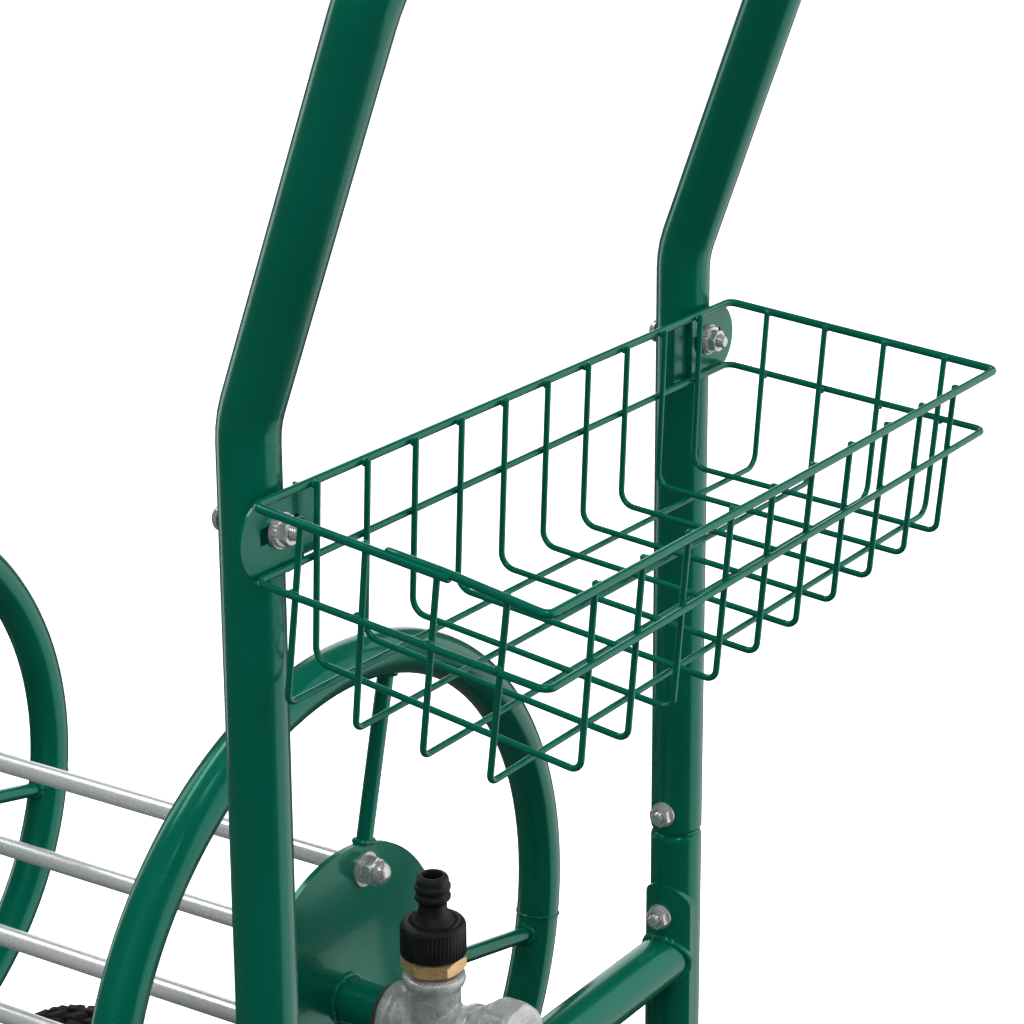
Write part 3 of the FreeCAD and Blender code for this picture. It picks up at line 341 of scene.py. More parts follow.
def piece(name, points, faces, body, slot, replaced=(), sharp=SMOOTH_ANGLE):
    """A new visible piece on a body, in a material slot's finish."""
    mesh = bpy.data.meshes.new(name)
    mesh.from_pydata([tuple(point) for point in points], [], faces)
    mesh.validate()
    mesh.shade_smooth()
    mesh.set_sharp_from_angle(angle=sharp)
    mesh.materials.append(MATERIALS[slot])
    made = bpy.data.objects.new(name, mesh)
    bpy.context.scene.collection.objects.link(made)
    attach(made, body)
    if replaced:
        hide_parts(*replaced)
    return made


class Shape:
    """Points in metres and faces, gathered from several closed forms."""

    def __init__(self):
        self.points = []
        self.faces = []

    def grid(self, rows, loop_rows=False, cap=True):
        """Skin closed rings of points. With loop_rows the last ring joins the first."""
        start = len(self.points)
        count = len(rows[0])
        for row in rows:
            self.points.extend(row)
        for i in range(len(rows) if loop_rows else len(rows) - 1):
            a = start + i * count
            b = start + (i + 1) % len(rows) * count
            for j in range(count):
                k = (j + 1) % count
                self.faces.append((a + j, a + k, b + k, b + j))
        if cap and not loop_rows:
            last = start + (len(rows) - 1) * count
            for first, order in ((start, -1), (last, 1)):
                middle = sum((self.points[first + j] for j in range(count)), Vector()) / count
                self.points.append(middle)
                tip = len(self.points) - 1
                for j in range(count):
                    k = (j + 1) % count
                    ends = (first + j, first + k) if order > 0 else (first + k, first + j)
                    self.faces.append((tip, *ends))

    def lathe(self, matrix, profile, segments=64, closed=False, radius_at=None, cap=True):
        """Turn a profile of (along, radius) in mm about local Z."""
        rows = []
        for along, radius in profile:
            row = []
            for j in range(segments):
                turn = 2 * math.pi * j / segments
                r = radius_at(turn, along, radius) if radius_at else radius
                row.append(matrix @ (Vector((r * math.cos(turn), r * math.sin(turn), along)) * MM))
            rows.append(row)
        self.grid(rows, loop_rows=closed, cap=cap)

    def hexagon(self, matrix, across, height, bore, bevel_low=True, bevel_high=True):
        """A hexagonal prism with turned chamfers, bored right through, from local Z 0."""
        flat = across / 2
        segments = 72
        slope = math.tan(math.radians(28))

        def edge(turn):
            near = (turn + math.pi / 6) % (math.pi / 3) - math.pi / 6
            return flat / math.cos(near)

        def ring(radius_of, level_of):
            row = []
            for j in range(segments):
                turn = 2 * math.pi * j / segments
                r = radius_of(turn)
                row.append(matrix @ (Vector((r * math.cos(turn), r * math.sin(turn),
                                             level_of(r))) * MM))
            return row

        drop = lambda r: max(0.0, r - flat * 0.97) * slope
        low = lambda r: drop(r) if bevel_low else 0.0
        high = lambda r: height - (drop(r) if bevel_high else 0.0)
        inner = lambda turn: bore
        shoulder = lambda turn: flat * 0.97
        rows = [ring(inner, lambda r: 0.0), ring(shoulder, low), ring(edge, low),
                ring(edge, high), ring(shoulder, high), ring(lambda turn: bore + 0.5, high),
                ring(inner, lambda r: height - 0.4)]
        self.grid(rows, loop_rows=True)

    def thread(self, matrix, radius, length, pitch=1.0, depth=0.35):
        """A threaded stud with a chamfered tip, from local Z 0."""
        segments = 28
        steps = int(length / pitch * 8)
        rows = []
        for i in range(steps + 1):
            along = length * i / steps
            row = []
            for j in range(segments):
                turn = 2 * math.pi * j / segments
                phase = (along / pitch - j / segments) % 1.0
                groove = depth * (1 - abs(2 * phase - 1))
                tip = max(0.0, along - (length - 0.7))
                r = min(radius - groove, radius - tip)
                row.append(matrix @ (Vector((r * math.cos(turn), r * math.sin(turn), along)) * MM))
            rows.append(row)
        self.grid(rows)

    def sweep(self, path, radius_of, segments=12, closed=False):
        """A tube along a path in metres. radius_of(share, turn) is in mm."""
        count = len(path)
        normal = None
        rows = []
        for i in range(count):
            before = path[i - 1] if (closed or i) else path[0]
            after = path[(i + 1) % count] if (closed or i < count - 1) else path[-1]
            tangent = (after - before).normalized()
            if normal is None:
                normal = tangent.orthogonal().normalized()
            normal = (normal - tangent * normal.dot(tangent)).normalized()
            side = tangent.cross(normal)
            row = []
            for j in range(segments):
                turn = 2 * math.pi * j / segments
                r = radius_of(i / count, turn) * MM
                row.append(path[i] + (normal * math.cos(turn) + side * math.sin(turn)) * r)
            rows.append(row)
        if closed:
            self.stitch_closed(rows)
        else:
            self.grid(rows)

    def stitch_closed(self, rows):
        """Join the last ring to the first at the turn where they match best."""
        count = len(rows[0])
        gaps = [(rows[-1][0] - rows[0][shift]).length for shift in range(count)]
        shift = gaps.index(min(gaps))
        start = len(self.points)
        self.grid(rows, cap=False)
        last = start + (len(rows) - 1) * count
        for j in range(count):
            k = (j + 1) % count
            self.faces.append((last + j, last + k, start + (k + shift) % count,
                               start + (j + shift) % count))

    def weld(self, path, radius, seed, closed=False, ripple=0.22):
        """A lumpy bead of weld under paint."""
        offset = Vector((seed * 3.17, seed * 1.31, seed * 7.7))
        last = len(path) - 1

        def radius_of(share, turn):
            place = path[min(last, int(share * len(path)))]
            lump = noise.noise(place * 330 + offset)
            step = 0.5 * math.sin(share * len(path) * 0.9)
            return radius * (1 + ripple * (step + lump))

        self.sweep(path, radius_of, 10, closed)

    def blob(self, place, radius, seed, stretch=(1, 1, 1)):
        """A small rounded drop of weld."""
        rows = []
        for i in range(1, 8):
            angle = math.pi * i / 8
            row = []
            for j in range(10):
                turn = 2 * math.pi * j / 10
                unit = Vector((math.sin(angle) * math.cos(turn), math.sin(angle) * math.sin(turn),
                               math.cos(angle)))
                swell = 1 + 0.28 * noise.noise(unit * 1.6 + Vector((seed * 2.3, seed, 0.0)))
                local = Vector(a * b for a, b in zip(unit * radius * swell, stretch))
                row.append(Vector(place) + local * MM)
            rows.append(row)
        self.grid(rows)

    def make(self, name, body, slot, replaced=(), sharp=SMOOTH_ANGLE):
        return piece(name, self.points, self.faces, body, slot, replaced, sharp)


# ---------------------------------------------------------------- water inlet

def rounded(points, radius, steps=5):
    """Points with each inner corner rounded by a small arc."""
    result = [points[0]]
    for before, here, after in zip(points, points[1:], points[2:]):
        before, here, after = Vector(before), Vector(here), Vector(after)
        reach = min(radius, (before - here).length * 0.45, (after - here).length * 0.45)
        start = here + (before - here).normalized() * reach
        end = here + (after - here).normalized() * reach
        for i in range(steps + 1):
            t = i / steps
            result.append((start * (1 - t) ** 2 + here * 2 * t * (1 - t) + end * t * t)[:])
    result.append(points[-1])
    return result


def hose_adapter():
    """The tap adapter: a knurled collar and a ridged nipple, bored through."""
    low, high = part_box("hose_adapter")
    base = Vector((TEE_X, 0, low.z))
    radius = (high.x - low.x) / 2 / MM
    ribs = 50
    shape = Shape()
    outer = [(0.6, radius - 1.6), (1.2, radius - 0.2), (1.6, radius), (14.8, radius),
             (15.6, radius - 0.2)]
    outer += rounded([(15.6, radius - 0.2), (16.9, radius - 1.0), (17.4, radius - 2.2),
                      (17.4, 11.4), (16.6, 11.0), (16.6, 10.6), (17.4, 10.3), (18.2, 9.9),
                      (19.2, 8.9), (21.6, 7.2), (24.0, 6.6), (26.6, 6.6), (27.8, 7.2),
                      (28.7, 8.4), (30.4, 8.5), (31.3, 7.6), (32.7, 7.6), (33.5, 8.4),
                      (35.3, 8.5), (36.2, 7.7), (38.6, 7.6), (40.0, 6.7), (40.4, 5.7),
                      (40.2, 4.75), (38.8, 4.5)], 0.45, 3)
    outer += [(8.0, 4.5), (7.0, 9.0), (0.6, 9.0)]

    def knurl(turn, along, r):
        if 1.1 < along < 12.2 and r > radius - 0.5:
            wave = math.cos(turn * ribs)
            return r - 0.62 * (1 if wave < -0.15 else 0 if wave > 0.25 else (0.25 - wave) / 0.4)
        return r

    shape.lathe(turned_to(base, Z_AXIS), outer, 600, closed=True, radius_at=knurl)
    shape.make("hose_nipple", "frame", "black_plastic", ["hose_adapter"])


def brass_bushing():
    """The hex bushing under the adapter, with its seat."""
    low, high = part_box("brass_bushing")
    base = Vector((TEE_X, 0, low.z))
    shape = Shape()
    shape.hexagon(turned_to(base, Z_AXIS, X_AXIS), 26.6, 6.8, 6.6)
    shape.lathe(turned_to(base + Z_AXIS * 6.8 * MM, Z_AXIS),
                [(0, 6.6), (0, 11.2), (0.7, 11.2), (0.7, 8.9), (6, 8.9), (6, 6.6)], 48, closed=True)
    shape.make("brass_hex", "frame", "brass", ["brass_bushing"], math.radians(20))


def cast_tee():
    """The malleable tee: run, branch and beads melted together, and roughly cast."""
    low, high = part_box("inlet_tee")
    middle = Vector((TEE_X, 0, AXIS_Z))
    half_run = (high.x - low.x) / 2 / MM
    rise = (high.z - AXIS_Z) / MM
    run = [(-half_run, 15.4), (-half_run + 0.5, 16.3), (-half_run + 2.6, 16.6),
           (-half_run + 5.2, 16.4), (-half_run + 6.2, 15.2), (-half_run + 7.4, 13.6), (-4, 13.4),
           (4, 13.4), (half_run - 7.4, 13.6), (half_run - 6.2, 15.2), (half_run - 5.2, 16.2),
           (half_run - 2.6, 16.4), (half_run - 0.5, 16.0), (half_run, 15.0)]
    branch = [(0, 12.6), (rise - 9, 12.6), (rise - 6.4, 13.0), (rise - 5.2, 14.5),
              (rise - 2.8, 15.1), (rise - 0.8, 14.8), (rise, 13.8)]
    shape = Shape()
    shape.lathe(turned_to(middle, X_AXIS), run, 96)
    shape.lathe(turned_to(middle, Z_AXIS), branch, 96)
    made = shape.make("cast_tee", "frame", "galvanised", ["inlet_tee"])
    remesh = made.modifiers.new("melt", "REMESH")
    remesh.mode = "VOXEL"
    remesh.voxel_size = 0.75 * MM
    remesh.use_smooth_shade = True
    soften = made.modifiers.new("soften", "SMOOTH")
    soften.factor = 0.6
    soften.iterations = 5
    settled = made.evaluated_get(bpy.context.evaluated_depsgraph_get())
    mesh = bpy.data.meshes.new_from_object(settled)
    made.modifiers.clear()
    made.data = mesh
    for vertex in mesh.vertices:
        out = vertex.co - middle
        around = min(out.cross(X_AXIS).length, out.cross(Z_AXIS).length) / MM
        swell = noise.noise(vertex.co * 260) * 0.22 + noise.noise(vertex.co * 900) * 0.07
        if around > 11.0:
            vertex.co += out.normalized() * swell * MM
    mesh.shade_smooth()
    mouth = Shape()
    mouth.lathe(turned_to(middle + Z_AXIS * rise * MM, Z_AXIS),
                [(0.02, 9.4), (0.35, 9.6), (0.5, 12.6), (0.2, 13.3), (-1, 13.3), (-1, 9.4)], 64,
                closed=True)
    mouth.make("tee_mouth", "frame", "galvanised")


hose_adapter()
brass_bushing()
cast_tee()


# ---------------------------------------------------------------- fasteners

def frame_fasteners():
    """Hex bolts and nuts through the posts at the sleeve joints and saddle plates."""
    bolts, nuts = Shape(), Shape()
    for sign in (-1, 1):
        for x, inner in ((UPRIGHT_X, "sleeve"), (UPRIGHT_X, "saddle"), (FRONT_X, "saddle")):
            level = AXIS_Z + (58.0 if inner == "sleeve" else 3.0) * MM
            face_out = 12.7 if inner == "sleeve" else 14.85
            inward = Vector((0, -sign, 0))
            face = Vector((x, sign * (POST_Y - face_out * MM), level))
            out = Vector((x, sign * (POST_Y + 12.75 * MM), level))
            tilt = Vector((0.35 * sign, 0, 1))
            nuts.lathe(turned_to(face, inward), [(0, 3.2), (0, 6.4), (0.9, 6.4), (0.9, 3.2)], 40,
                       closed=True)
            nuts.hexagon(turned_to(face + inward * 0.9 * MM, inward, tilt), 9.9, 4.1, 3.05,
                         bevel_low=False)
            bolts.thread(turned_to(face + inward * 0.5 * MM, inward), 2.95, 6.9)
            bolts.hexagon(turned_to(out, -inward, tilt), 9.9, 3.9, 0.6, bevel_low=False)
    bolts.make("frame_bolt_set", "frame", "zinc_hardware", ["frame_bolts"], math.radians(25))
    nuts.make("frame_nut_set", "frame", "zinc_hardware", ["frame_nuts"], math.radians(25))


def basket_fasteners():
    """Flange nuts and studs at the basket's tabs, and their round heads behind the posts."""
    bolts, nuts = Shape(), Shape()
    washer_low, washer_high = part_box("basket_washers")
    for sign in (-1, 1):
        face = Vector((washer_high.x, sign * POST_Y, BASKET_Z))
        teeth = lambda turn, along, r: r + (0.16 * math.cos(turn * 24) if r > 6 else 0.0)
        nuts.lathe(turned_to(face, X_AXIS), [(0, 3.1), (0, 6.5), (0.7, 6.7), (1.3, 6.2),
                                             (1.6, 5.4), (1.6, 3.1)], 96, closed=True,
                   radius_at=teeth)
        nuts.hexagon(turned_to(face + X_AXIS * 1.5 * MM, X_AXIS, (0, 0.3 * sign, 1)), 9.9, 3.5,
                     3.05, bevel_low=False)
        bolts.thread(turned_to(face + X_AXIS * 0.4 * MM, X_AXIS), 2.95, 7.6)
        back = Vector((UPRIGHT_X - 12.75 * MM, sign * POST_Y, BASKET_Z))
        bolts.lathe(turned_to(back, -X_AXIS), [(0, 5.6), (0.6, 5.7), (2.2, 5.3), (3.4, 4.2),
                                               (3.9, 2.6), (4.0, 1.6), (2.6, 1.5)], 40)
    bolts.make("basket_bolt_set", "frame", "zinc_hardware", ["basket_bolts"], math.radians(25))
    nuts.make("basket_nut_set", "frame", "zinc_hardware", ["basket_nuts"], math.radians(25))


frame_fasteners()
basket_fasteners()

# ---------------------------------------------------------------- drum

ROD_PHASE = math.radians(14.4)
ROD_CIRCLE = 63.3 * MM
DISC_HALF = 1.5 * MM
ARM_TURNS = [ROD_PHASE + arm * math.pi / 2 for arm in range(4)]
SPOKE_TURNS = [turn - math.radians(lag) for turn, lag in zip(ARM_TURNS, (0.6, 2.2, 0.6, 2.2))]


def radial(turn):
    return Vector((0, math.sin(turn), math.cos(turn)))


def dome_nuts():
    """Dome nuts on the tie rods, outside both discs."""
    shape = Shape()
    for turn in ARM_TURNS:
        for end, sign in (("rear", 1), ("front", -1)):
            outward = X_AXIS * sign
            face = Vector((RING_X[end] + sign * (DISC_HALF + 1.6 * MM), 0, AXIS_Z))
            face += radial(turn) * ROD_CIRCLE
            shape.hexagon(turned_to(face, outward, radial(turn + 0.4 * sign)), 12.8, 6.3, 1.0)
            dome = [(5.9, 6.0), (6.5, 6.1)]
            dome += [(6.5 + 6.1 * math.sin(a / 14 * math.pi / 2),
                      6.1 * math.cos(a / 14 * math.pi / 2)) for a in range(1, 14)]
            shape.lathe(turned_to(face, outward), dome, 48)
    shape.make("dome_nut_set", "reel", "zinc_hardware", ["dome_nuts"], math.radians(28))


def drum_welds():
    """Beads at the spokes' ends and round the shafts, and each hoop's butt joint."""
    shape = Shape()
    seed = 1
    spoke_r = 4.0 * MM
    for end, x in RING_X.items():
        hub = Vector((x, 0, AXIS_Z))
        for turn in SPOKE_TURNS:
            out = radial(turn)
            side = X_AXIS.cross(out)
            at_disc = hub + out * 76.4 * MM
            path = [at_disc + (side * math.cos(a) * 5.0 + X_AXIS * math.sin(a) * 3.4) * MM
                    for a in (math.pi * 2 * i / 16 for i in range(16))]
            shape.weld(path, 1.7, seed, closed=True)
            path = []
            for i in range(24):
                a = math.pi * 2 * i / 24
                offset = spoke_r * 1.12 * math.sin(a)
                reach = HOOP_CENTRE_R - math.sqrt(HOOP_TUBE_R ** 2 - offset ** 2)
                path.append(hub + out * reach + side * spoke_r * 1.12 * math.cos(a)
                            + X_AXIS * offset)
            shape.weld(path, 1.6, seed + 1, closed=True)
            for k in range(3):
                spot = path[(5 + 7 * k) % 24] + out * 0.6 * MM
                shape.blob(spot, 1.9, seed + k, (1.2, 1.0, 1.0))
            seed += 3
        for sign in (-1, 1):
            path = [hub + X_AXIS * sign * 1.7 * MM + radial(math.pi * 2 * i / 40) * 11.6 * MM
                    for i in range(40)]
            shape.weld(path, 1.5, seed, closed=True)
            seed += 1
        joint = math.radians(98.6)
        middle = hub + radial(joint) * HOOP_CENTRE_R
        path = [middle + (radial(joint) * math.cos(a) + X_AXIS * math.sin(a)) * HOOP_TUBE_R
                for a in (math.pi * 2 * i / 40 for i in range(40))]
        shape.weld(path, 0.7, seed, closed=True, ripple=0.3)
    shape.make("drum_weld_beads", "reel", "green_frame")


dome_nuts()
drum_welds()


# ---------------------------------------------------------------- frame welds

def frame_welds():
    """Beads where the crossbars meet their saddle plates."""
    shape = Shape()
    seed = 41
    saddle_r = 14.9 * MM
    seam_r = 12.9 * MM
    bar_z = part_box("rear_crossbar")[0].z + TUBE_R
    for x in (UPRIGHT_X, FRONT_X):
        for sign in (-1, 1):
            path = []
            for i in range(44):
                a = math.pi * 2 * i / 44
                across = seam_r * math.cos(a)
                y = POST_Y - math.sqrt(max(saddle_r ** 2 - across ** 2, 1e-9))
                path.append(Vector((x + across, sign * (y - 0.2 * MM),
                                    bar_z + seam_r * math.sin(a))))
            shape.weld(path, 1.9, seed, closed=True)
            for k, a in enumerate((1.2, 1.75, 4.9, 0.3)):
                spot = path[int(a / (2 * math.pi) * 44)]
                shape.blob(spot, 2.6 - 0.3 * k, seed + k)
            seed += 5
    shape.make("crossbar_weld_beads", "frame", "green_frame")


frame_welds()


# ---------------------------------------------------------------- basket

RIM_R, MESH_R = 1.8, 1.35
RIM_BACK, RIM_FRONT = 15.8, 152.4
RIM_HALF = (180.0, 186.2)
RIM_RISE = (14.8, 1.0)
LEG_BACK = RIM_BACK + RIM_R + MESH_R + 0.7
LEG_FRONT = RIM_FRONT - RIM_R - MESH_R
RING_LEVEL = (-15.8, -28.4)
LONG_TOPS = ((36.5, 37.4), (67.5, 67.6), (100.8, 98.0), (132.5, 128.4))
CROSS_WIRES = 10
CROSS_PITCH = (32.4, 33.3)
TIP_LIFT = (1.2, 0.7)
LAP_START, LAP_END = 0.46, 0.68


def basket_point(x, y, z):
    """A point in mm from between the two basket bolts."""
    return Vector((UPRIGHT_X, 0, BASKET_Z)) + Vector((x, y, z)) * MM


def between(ends, share):
    return ends[0] + (ends[1] - ends[0]) * share


def rim_corner(share, side):
    return basket_point(between((RIM_BACK, RIM_FRONT), share), side * between(RIM_HALF, share),
                        between(RIM_RISE, share))


def basket_rim():
    """The thick rim wire, with its two ends lapped on one short side and spot welded."""
    turn = [rim_corner(LAP_END, -1), rim_corner(0, -1), rim_corner(0, 1), rim_corner(1, 1),
            rim_corner(1, -1)]
    aside = Vector((0, 1.2, 1.3)) * MM
    turn += [rim_corner(0.8, -1) + aside * 0.6, rim_corner(0.66, -1) + aside,
             rim_corner(LAP_START, -1) + aside]
    path = [Vector(point) for point in rounded([tuple(point) for point in turn], 4.5 * MM, 8)]
    fine = [path[0]]
    for here, there in zip(path, path[1:]):
        steps = max(1, int((there - here).length / (6 * MM)))
        fine += [here.lerp(there, (i + 1) / steps) for i in range(steps)]
    last = len(fine) - 1
    fine.insert(1, fine[0].lerp(fine[1], 0.12))
    fine.insert(last + 1, fine[-1].lerp(fine[-2], 0.12))
    shape = Shape()
    count = len(fine)

    def radius_of(share, turn_about):
        index = round(share * count)
        return RIM_R * (0.8 if index in (0, count - 1) else 1.0)

    shape.sweep(fine, radius_of, 18)
    for share in (0.49, 0.56, 0.65):
        shape.blob(rim_corner(share, -1) + aside * 0.5, 1.6, share * 40, (2.4, 0.8, 0.8))
    shape.make("basket_rim_wire", "frame", "green_frame", ["basket_rim"])


def basket_welds():
    """Fused spots where wires cross, and rounded wire ends."""
    shape = Shape()
    seed = 90
    for index in range(CROSS_WIRES):
        place = index - (CROSS_WIRES - 1) / 2
        for end, x in enumerate((LEG_BACK, LEG_FRONT)):
            y = place * CROSS_PITCH[end]
            shape.blob(basket_point(x, y, RIM_RISE[end] + TIP_LIFT[end] - 0.4), MESH_R, seed)
            toward = MESH_R if end else -MESH_R
            shape.blob(basket_point(x + toward, y, RIM_RISE[end] - 0.2), 1.55, seed + 1,
                       (0.8, 1.2, 1.1))
            seed += 2
        level = RING_LEVEL[1] + 0.12 * index - 0.6
        shape.blob(basket_point(LEG_FRONT - 1.4, y, level), 1.5, seed, (0.8, 1.2, 1.1))
    for tops in LONG_TOPS:
        for side, x in zip((-1, 1), tops):
            share = (x - RIM_BACK) / (RIM_FRONT - RIM_BACK)
            half = between(RIM_HALF, share)
            rise = between(RIM_RISE, share)
            shape.blob(basket_point(x, side * (half - RIM_R - MESH_R), rise + 0.2), MESH_R, seed)
            shape.blob(basket_point(x, side * (half - RIM_R), rise - 0.2), 1.55, seed + 1,
                       (1.2, 0.8, 1.1))
            lean = 5.2 if side < 0 else 1.2
            shape.blob(basket_point(x - lean, side * (half - 3.4), between(RING_LEVEL, share)),
                       1.8, seed + 2, (1.1, 1.4, 1.0))
            seed += 3
    for side in (-1, 1):
        for y, z, x in ((170, 13.4, 14.6), (152, 13.4, 14.6), (176, -16.6, 14.4),
                        (158, -17.0, 14.4), (150, -17.0, 14.4)):
            shape.blob(basket_point(x, side * y, z), 1.4, seed, (0.8, 2.2, 0.8))
            seed += 1
    shape.make("basket_spot_welds", "frame", "green_frame")


basket_rim()
basket_welds()


# ---------------------------------------------------------------- handle grip

def handle_grip():
    """A foam sleeve with shallow turned ribs and rolled ends."""
    low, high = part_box("handle_grip")
    middle = (low + high) / 2
    half = (high.y - low.y) / 2 / MM
    radius = (high.z - low.z) / 2 / MM
    outline = rounded([(-half, 13.1), (-half, radius - 2.2), (-half + 2.2, radius - 0.6),
                       (-half + 6, radius - 0.6), (-half + 8, radius - 1.8)], 1.4, 4)
    ribs = 30
    for rib in range(ribs * 8 + 1):
        along = -half + 8 + (2 * half - 16) * rib / (ribs * 8)
        outline.append((along, radius - 1.0 - 0.8 * abs(math.cos(math.pi * rib / 8)) ** 3))
    outline += rounded([(half - 8, radius - 1.8), (half - 6, radius - 0.6),
                        (half - 2.2, radius - 0.6), (half, radius - 2.2), (half, 13.1)], 1.4, 4)
    shape = Shape()
    shape.lathe(turned_to(middle, Y_AXIS), outline, 72, closed=True)
    shape.make("foam_grip", "frame", "black_rubber", ["handle_grip"], math.radians(50))


# ---------------------------------------------------------------- swivel nut

def swivel_nut():
    """The inlet's cast swivel nut: eight soft flats, a rolled end and a shallow recess in its face.
    """
    nut_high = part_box("swivel_nut")[1]
    base = Vector((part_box("inlet_tee")[1].x + 0.1 * MM, 0, AXIS_Z))
    length = (nut_high.x - base.x) / MM
    radius = (nut_high.z - AXIS_Z) / MM
    outline = rounded([(0, 8.4), (0, 16.2), (2.5, 17.4), (8, radius - 2.0), (10.5, radius - 0.2),
                       (13, radius), (length - 3.4, radius), (length - 0.6, radius - 2.2),
                       (length, radius - 5), (length, 12.5), (length - 1.2, 11.6),
                       (length - 1.2, 0.6)], 1.6, 4)

    def flats(turn, along, r):
        if r < radius - 2.4 or along > length - 1.0:
            return r
        near = (turn + math.pi / 8) % (math.pi / 4) - math.pi / 8
        return min(r, (radius - 1.2) / math.cos(near))

    shape = Shape()
    shape.lathe(turned_to(base, X_AXIS), outline, 144, radius_at=flats)
    neck = [(-14.0, 0.6), (-14.0, 8.3), (0.2, 8.3), (0.2, 0.6)]
    shape.lathe(turned_to(base, X_AXIS), neck, 48, closed=True)
    shape.make("swivel_nut_casting", "frame", "galvanised", ["swivel_nut"], math.radians(40))


handle_grip()
swivel_nut()


# ---------------------------------------------------------------- tyres

def tyre(name, body):
    """A pneumatic tyre with chunky shoulder lugs, a rib round the middle and a bead line."""
    low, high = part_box(name)
    hub = (low + high) / 2
    outer = (high.z - low.z) / 2 / MM
    half = (high.y - low.y) / 2 / MM
    shape = Shape()
    groove = 4.5
    floor_r = outer - groove
    carcass = rounded([(-half + 5, 64.1), (-half + 1.6, 69), (-half, 78), (-half + 0.5, 87),
                       (-half + 3.2, floor_r - 1.6), (-half + 9, floor_r), (half - 9, floor_r),
                       (half - 3.2, floor_r - 1.6), (half - 0.5, 87), (half, 78),
                       (half - 1.6, 69), (half - 5, 64.1)], 5, 4)
    shape.lathe(turned_to(hub, Y_AXIS), carcass, 96, closed=True)
    for sign in (-1, 1):
        for along, radius in ((half - 1.9, 71.0), (half - 0.7, 82.0)):
            path = [hub + Y_AXIS * sign * along * MM
                    + Vector((math.cos(a), 0, math.sin(a))) * radius * MM
                    for a in (math.pi * 2 * i / 72 for i in range(72))]
            shape.sweep(path, lambda share, turn: 0.9, 6, closed=True)
    lugs = 40
    for sign in (-1, 0, 1):
        for i in range(lugs):
            turn = 2 * math.pi * (i + (0.5 if sign else 0.0)) / lugs
            width = 2 * math.pi / lugs * (0.62 if sign else 0.5)
            span = (sign * 6.5, sign * (half - 1.2)) if sign else (-4.6, 4.6)
            rows = []
            for depth, shrink in ((-2.0, 1.0), (groove - 0.7, 0.94), (groove, 0.82)):
                row = []
                for u, v in ((-1, 0), (1, 0), (1, 0.5), (1, 1), (-1, 1), (-1, 0.5)):
                    along = span[0] + (span[1] - span[0]) * (0.5 + (v - 0.5) * shrink)
                    skew = 0.05 * v * (1 if sign > 0 else -1)
                    angle = turn + u * width / 2 * shrink + skew
                    drop = max(0.0, abs(along) - 9) ** 2 * 0.035
                    r = min(floor_r + depth - drop, outer)
                    place = Vector((math.cos(angle) * r, along, math.sin(angle) * r)) * MM
                    row.append(hub + place)
                rows.append(row)
            shape.grid(rows)
    shape.make(f"{name}_tread", body, "tyre_rubber", [name], math.radians(28))


def wheel_faces(name, body):
    """Eight ribs on each side that stiffen a wheel's web."""
    low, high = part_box(name)
    hub = (low + high) / 2
    half = (high.y - low.y) / 2
    shape = Shape()
    for sign in (-1, 1):
        for i in range(8):
            turn = 2 * math.pi * i / 8
            out = Vector((math.cos(turn), 0, math.sin(turn)))
            side = Vector((-math.sin(turn), 0, math.cos(turn)))
            rows = []
            for reach, level, thick in ((16.5, 0.93, 2.2), (24, 0.6, 2.0), (36, 0.42, 1.8),
                                        (47, 0.34, 1.8), (58.4, 0.62, 2.2)):
                row = []
                for along, wide in ((0.08, 1.0), (level - 0.04, 1.0), (level, 0.55),
                                    (level, -0.55), (level - 0.04, -1.0), (0.08, -1.0)):
                    row.append(hub + out * reach * MM + side * wide * thick * MM
                               + Y_AXIS * sign * along * half)
                rows.append(row if sign > 0 else row[::-1])
            shape.grid(rows)
    shape.make(f"{name}_ribs", body, "grey_wheel")


for wheel in [name for name in frame["bodies"] if name.startswith("wheel_")]:
    tyre(wheel.replace("wheel_", "tyre_"), wheel)
    wheel_faces(wheel, wheel)


# ---------------------------------------------------------------- camera, floor and light

def camera():
    """A long lens beyond the handle end, on the -Y side and above the basket, looking down."""
    yaw, pitch, roll = 1.029, -0.297, -0.010
    forward = Vector((-math.cos(yaw) * math.cos(pitch), math.sin(yaw) * math.cos(pitch),
                      math.sin(pitch)))
    right = Vector((math.sin(yaw), math.cos(yaw), 0))
    down = forward.cross(right)
    across = right * math.cos(roll) + down * math.sin(roll)
    below = down * math.cos(roll) - right * math.sin(roll)
    data = bpy.data.cameras.new("camera")
    data.sensor_width = 36.0
    data.lens = 103.4
    data.shift_x = -0.1428
    data.shift_y = -0.0961
    data.clip_end = 100
    made = bpy.data.objects.new("camera", data)
    place = Vector((UPRIGHT_X + 0.6864, -0.9995, BASKET_Z + 0.3737))
    turn = Matrix((across, -below, -forward)).transposed().to_4x4()
    made.matrix_world = Matrix.Translation(place) @ turn
    bpy.context.scene.collection.objects.link(made)
    bpy.context.scene.camera = made


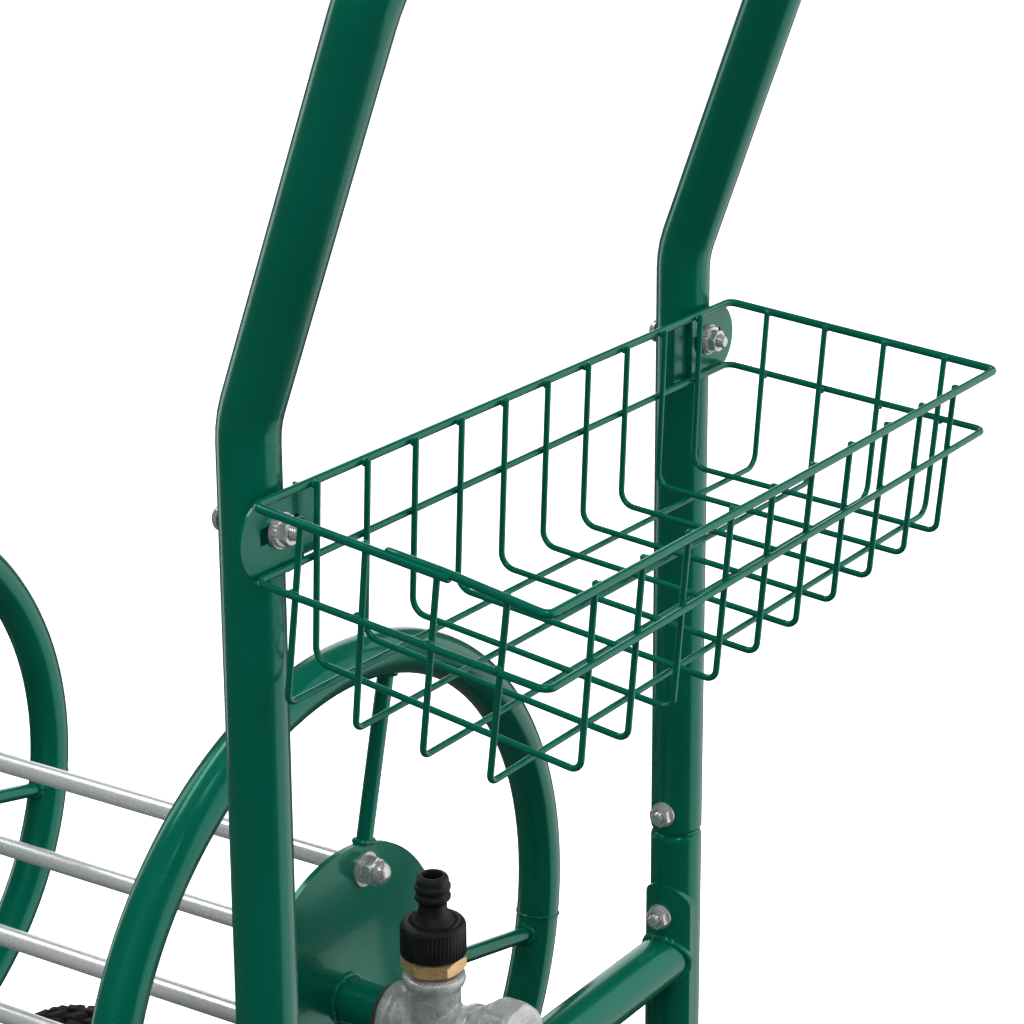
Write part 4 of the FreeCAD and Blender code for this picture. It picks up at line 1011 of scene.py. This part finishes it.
def area_light(name, azimuth, elevation, distance, size, power, glossy=True):
    """A soft panel that faces the middle of the cart, left out of reflections if asked."""
    middle = Vector((0.1, 0, 0.5))
    turn, rise = math.radians(azimuth), math.radians(elevation)
    away = Vector((math.cos(turn) * math.cos(rise), math.sin(turn) * math.cos(rise),
                   math.sin(rise)))
    data = bpy.data.lights.new(name, "AREA")
    data.shape = "RECTANGLE"
    data.size, data.size_y = size
    data.energy = power
    made = bpy.data.objects.new(name, data)
    made.matrix_world = turned_to(middle + away * distance, away, Z_AXIS.cross(away))
    made.visible_glossy = glossy
    made.visible_camera = False
    bpy.context.scene.collection.objects.link(made)


def studio():
    """A pale floor, a faint even world and soft panels."""
    mesh = bpy.data.meshes.new("floor")
    reach = 40.0
    mesh.from_pydata([(-reach, -reach, 0), (reach, -reach, 0), (reach, reach, 0),
                      (-reach, reach, 0)], [], [(0, 1, 2, 3)])
    floor = bpy.data.objects.new("floor", mesh)
    bpy.context.scene.collection.objects.link(floor)
    floor.visible_glossy = False
    floor.visible_diffuse = False
    paper = Material("pale_paper", Roughness=0.9, Emission_Strength=1.02,
                     Emission_Color=(1.0, 1.0, 1.0, 1.0))
    grain = paper.noise(30.0, 3.0)
    paper.drive(Base_Color=paper.ramp(grain, (0.3, 0.9), (0.7, 0.93)))
    mesh.materials.append(paper.data)
    world = bpy.data.worlds.new("studio")
    world.use_nodes = True
    background = world.node_tree.nodes["Background"]
    background.inputs["Color"].default_value = (0.97, 0.99, 1.0, 1.0)
    background.inputs["Strength"].default_value = 0.07
    bpy.context.scene.world = world
    area_light("right_panel", 47, 1, 3.0, (5.4, 4.6), 64)
    area_light("right_fill", 24, 18, 3.2, (2.4, 2.8), 46, glossy=False)
    area_light("left_panel", 176, 8, 3.0, (0.8, 3.6), 13)
    area_light("back_panel", 125, 6, 4.5, (1.6, 3.6), 20)
    area_light("rod_panel", 186, 55, 3.2, (1.8, 0.7), 14)
    area_light("glint", -34, 56, 3.2, (0.4, 1.6), 10)
    area_light("front_fill", -80, 26, 3.4, (2.2, 2.6), 78, glossy=False)
    area_light("top_fill", 0, 82, 3.0, (2.4, 2.4), 60, glossy=False)
    bpy.context.scene.view_settings.view_transform = "Standard"


camera()
studio()
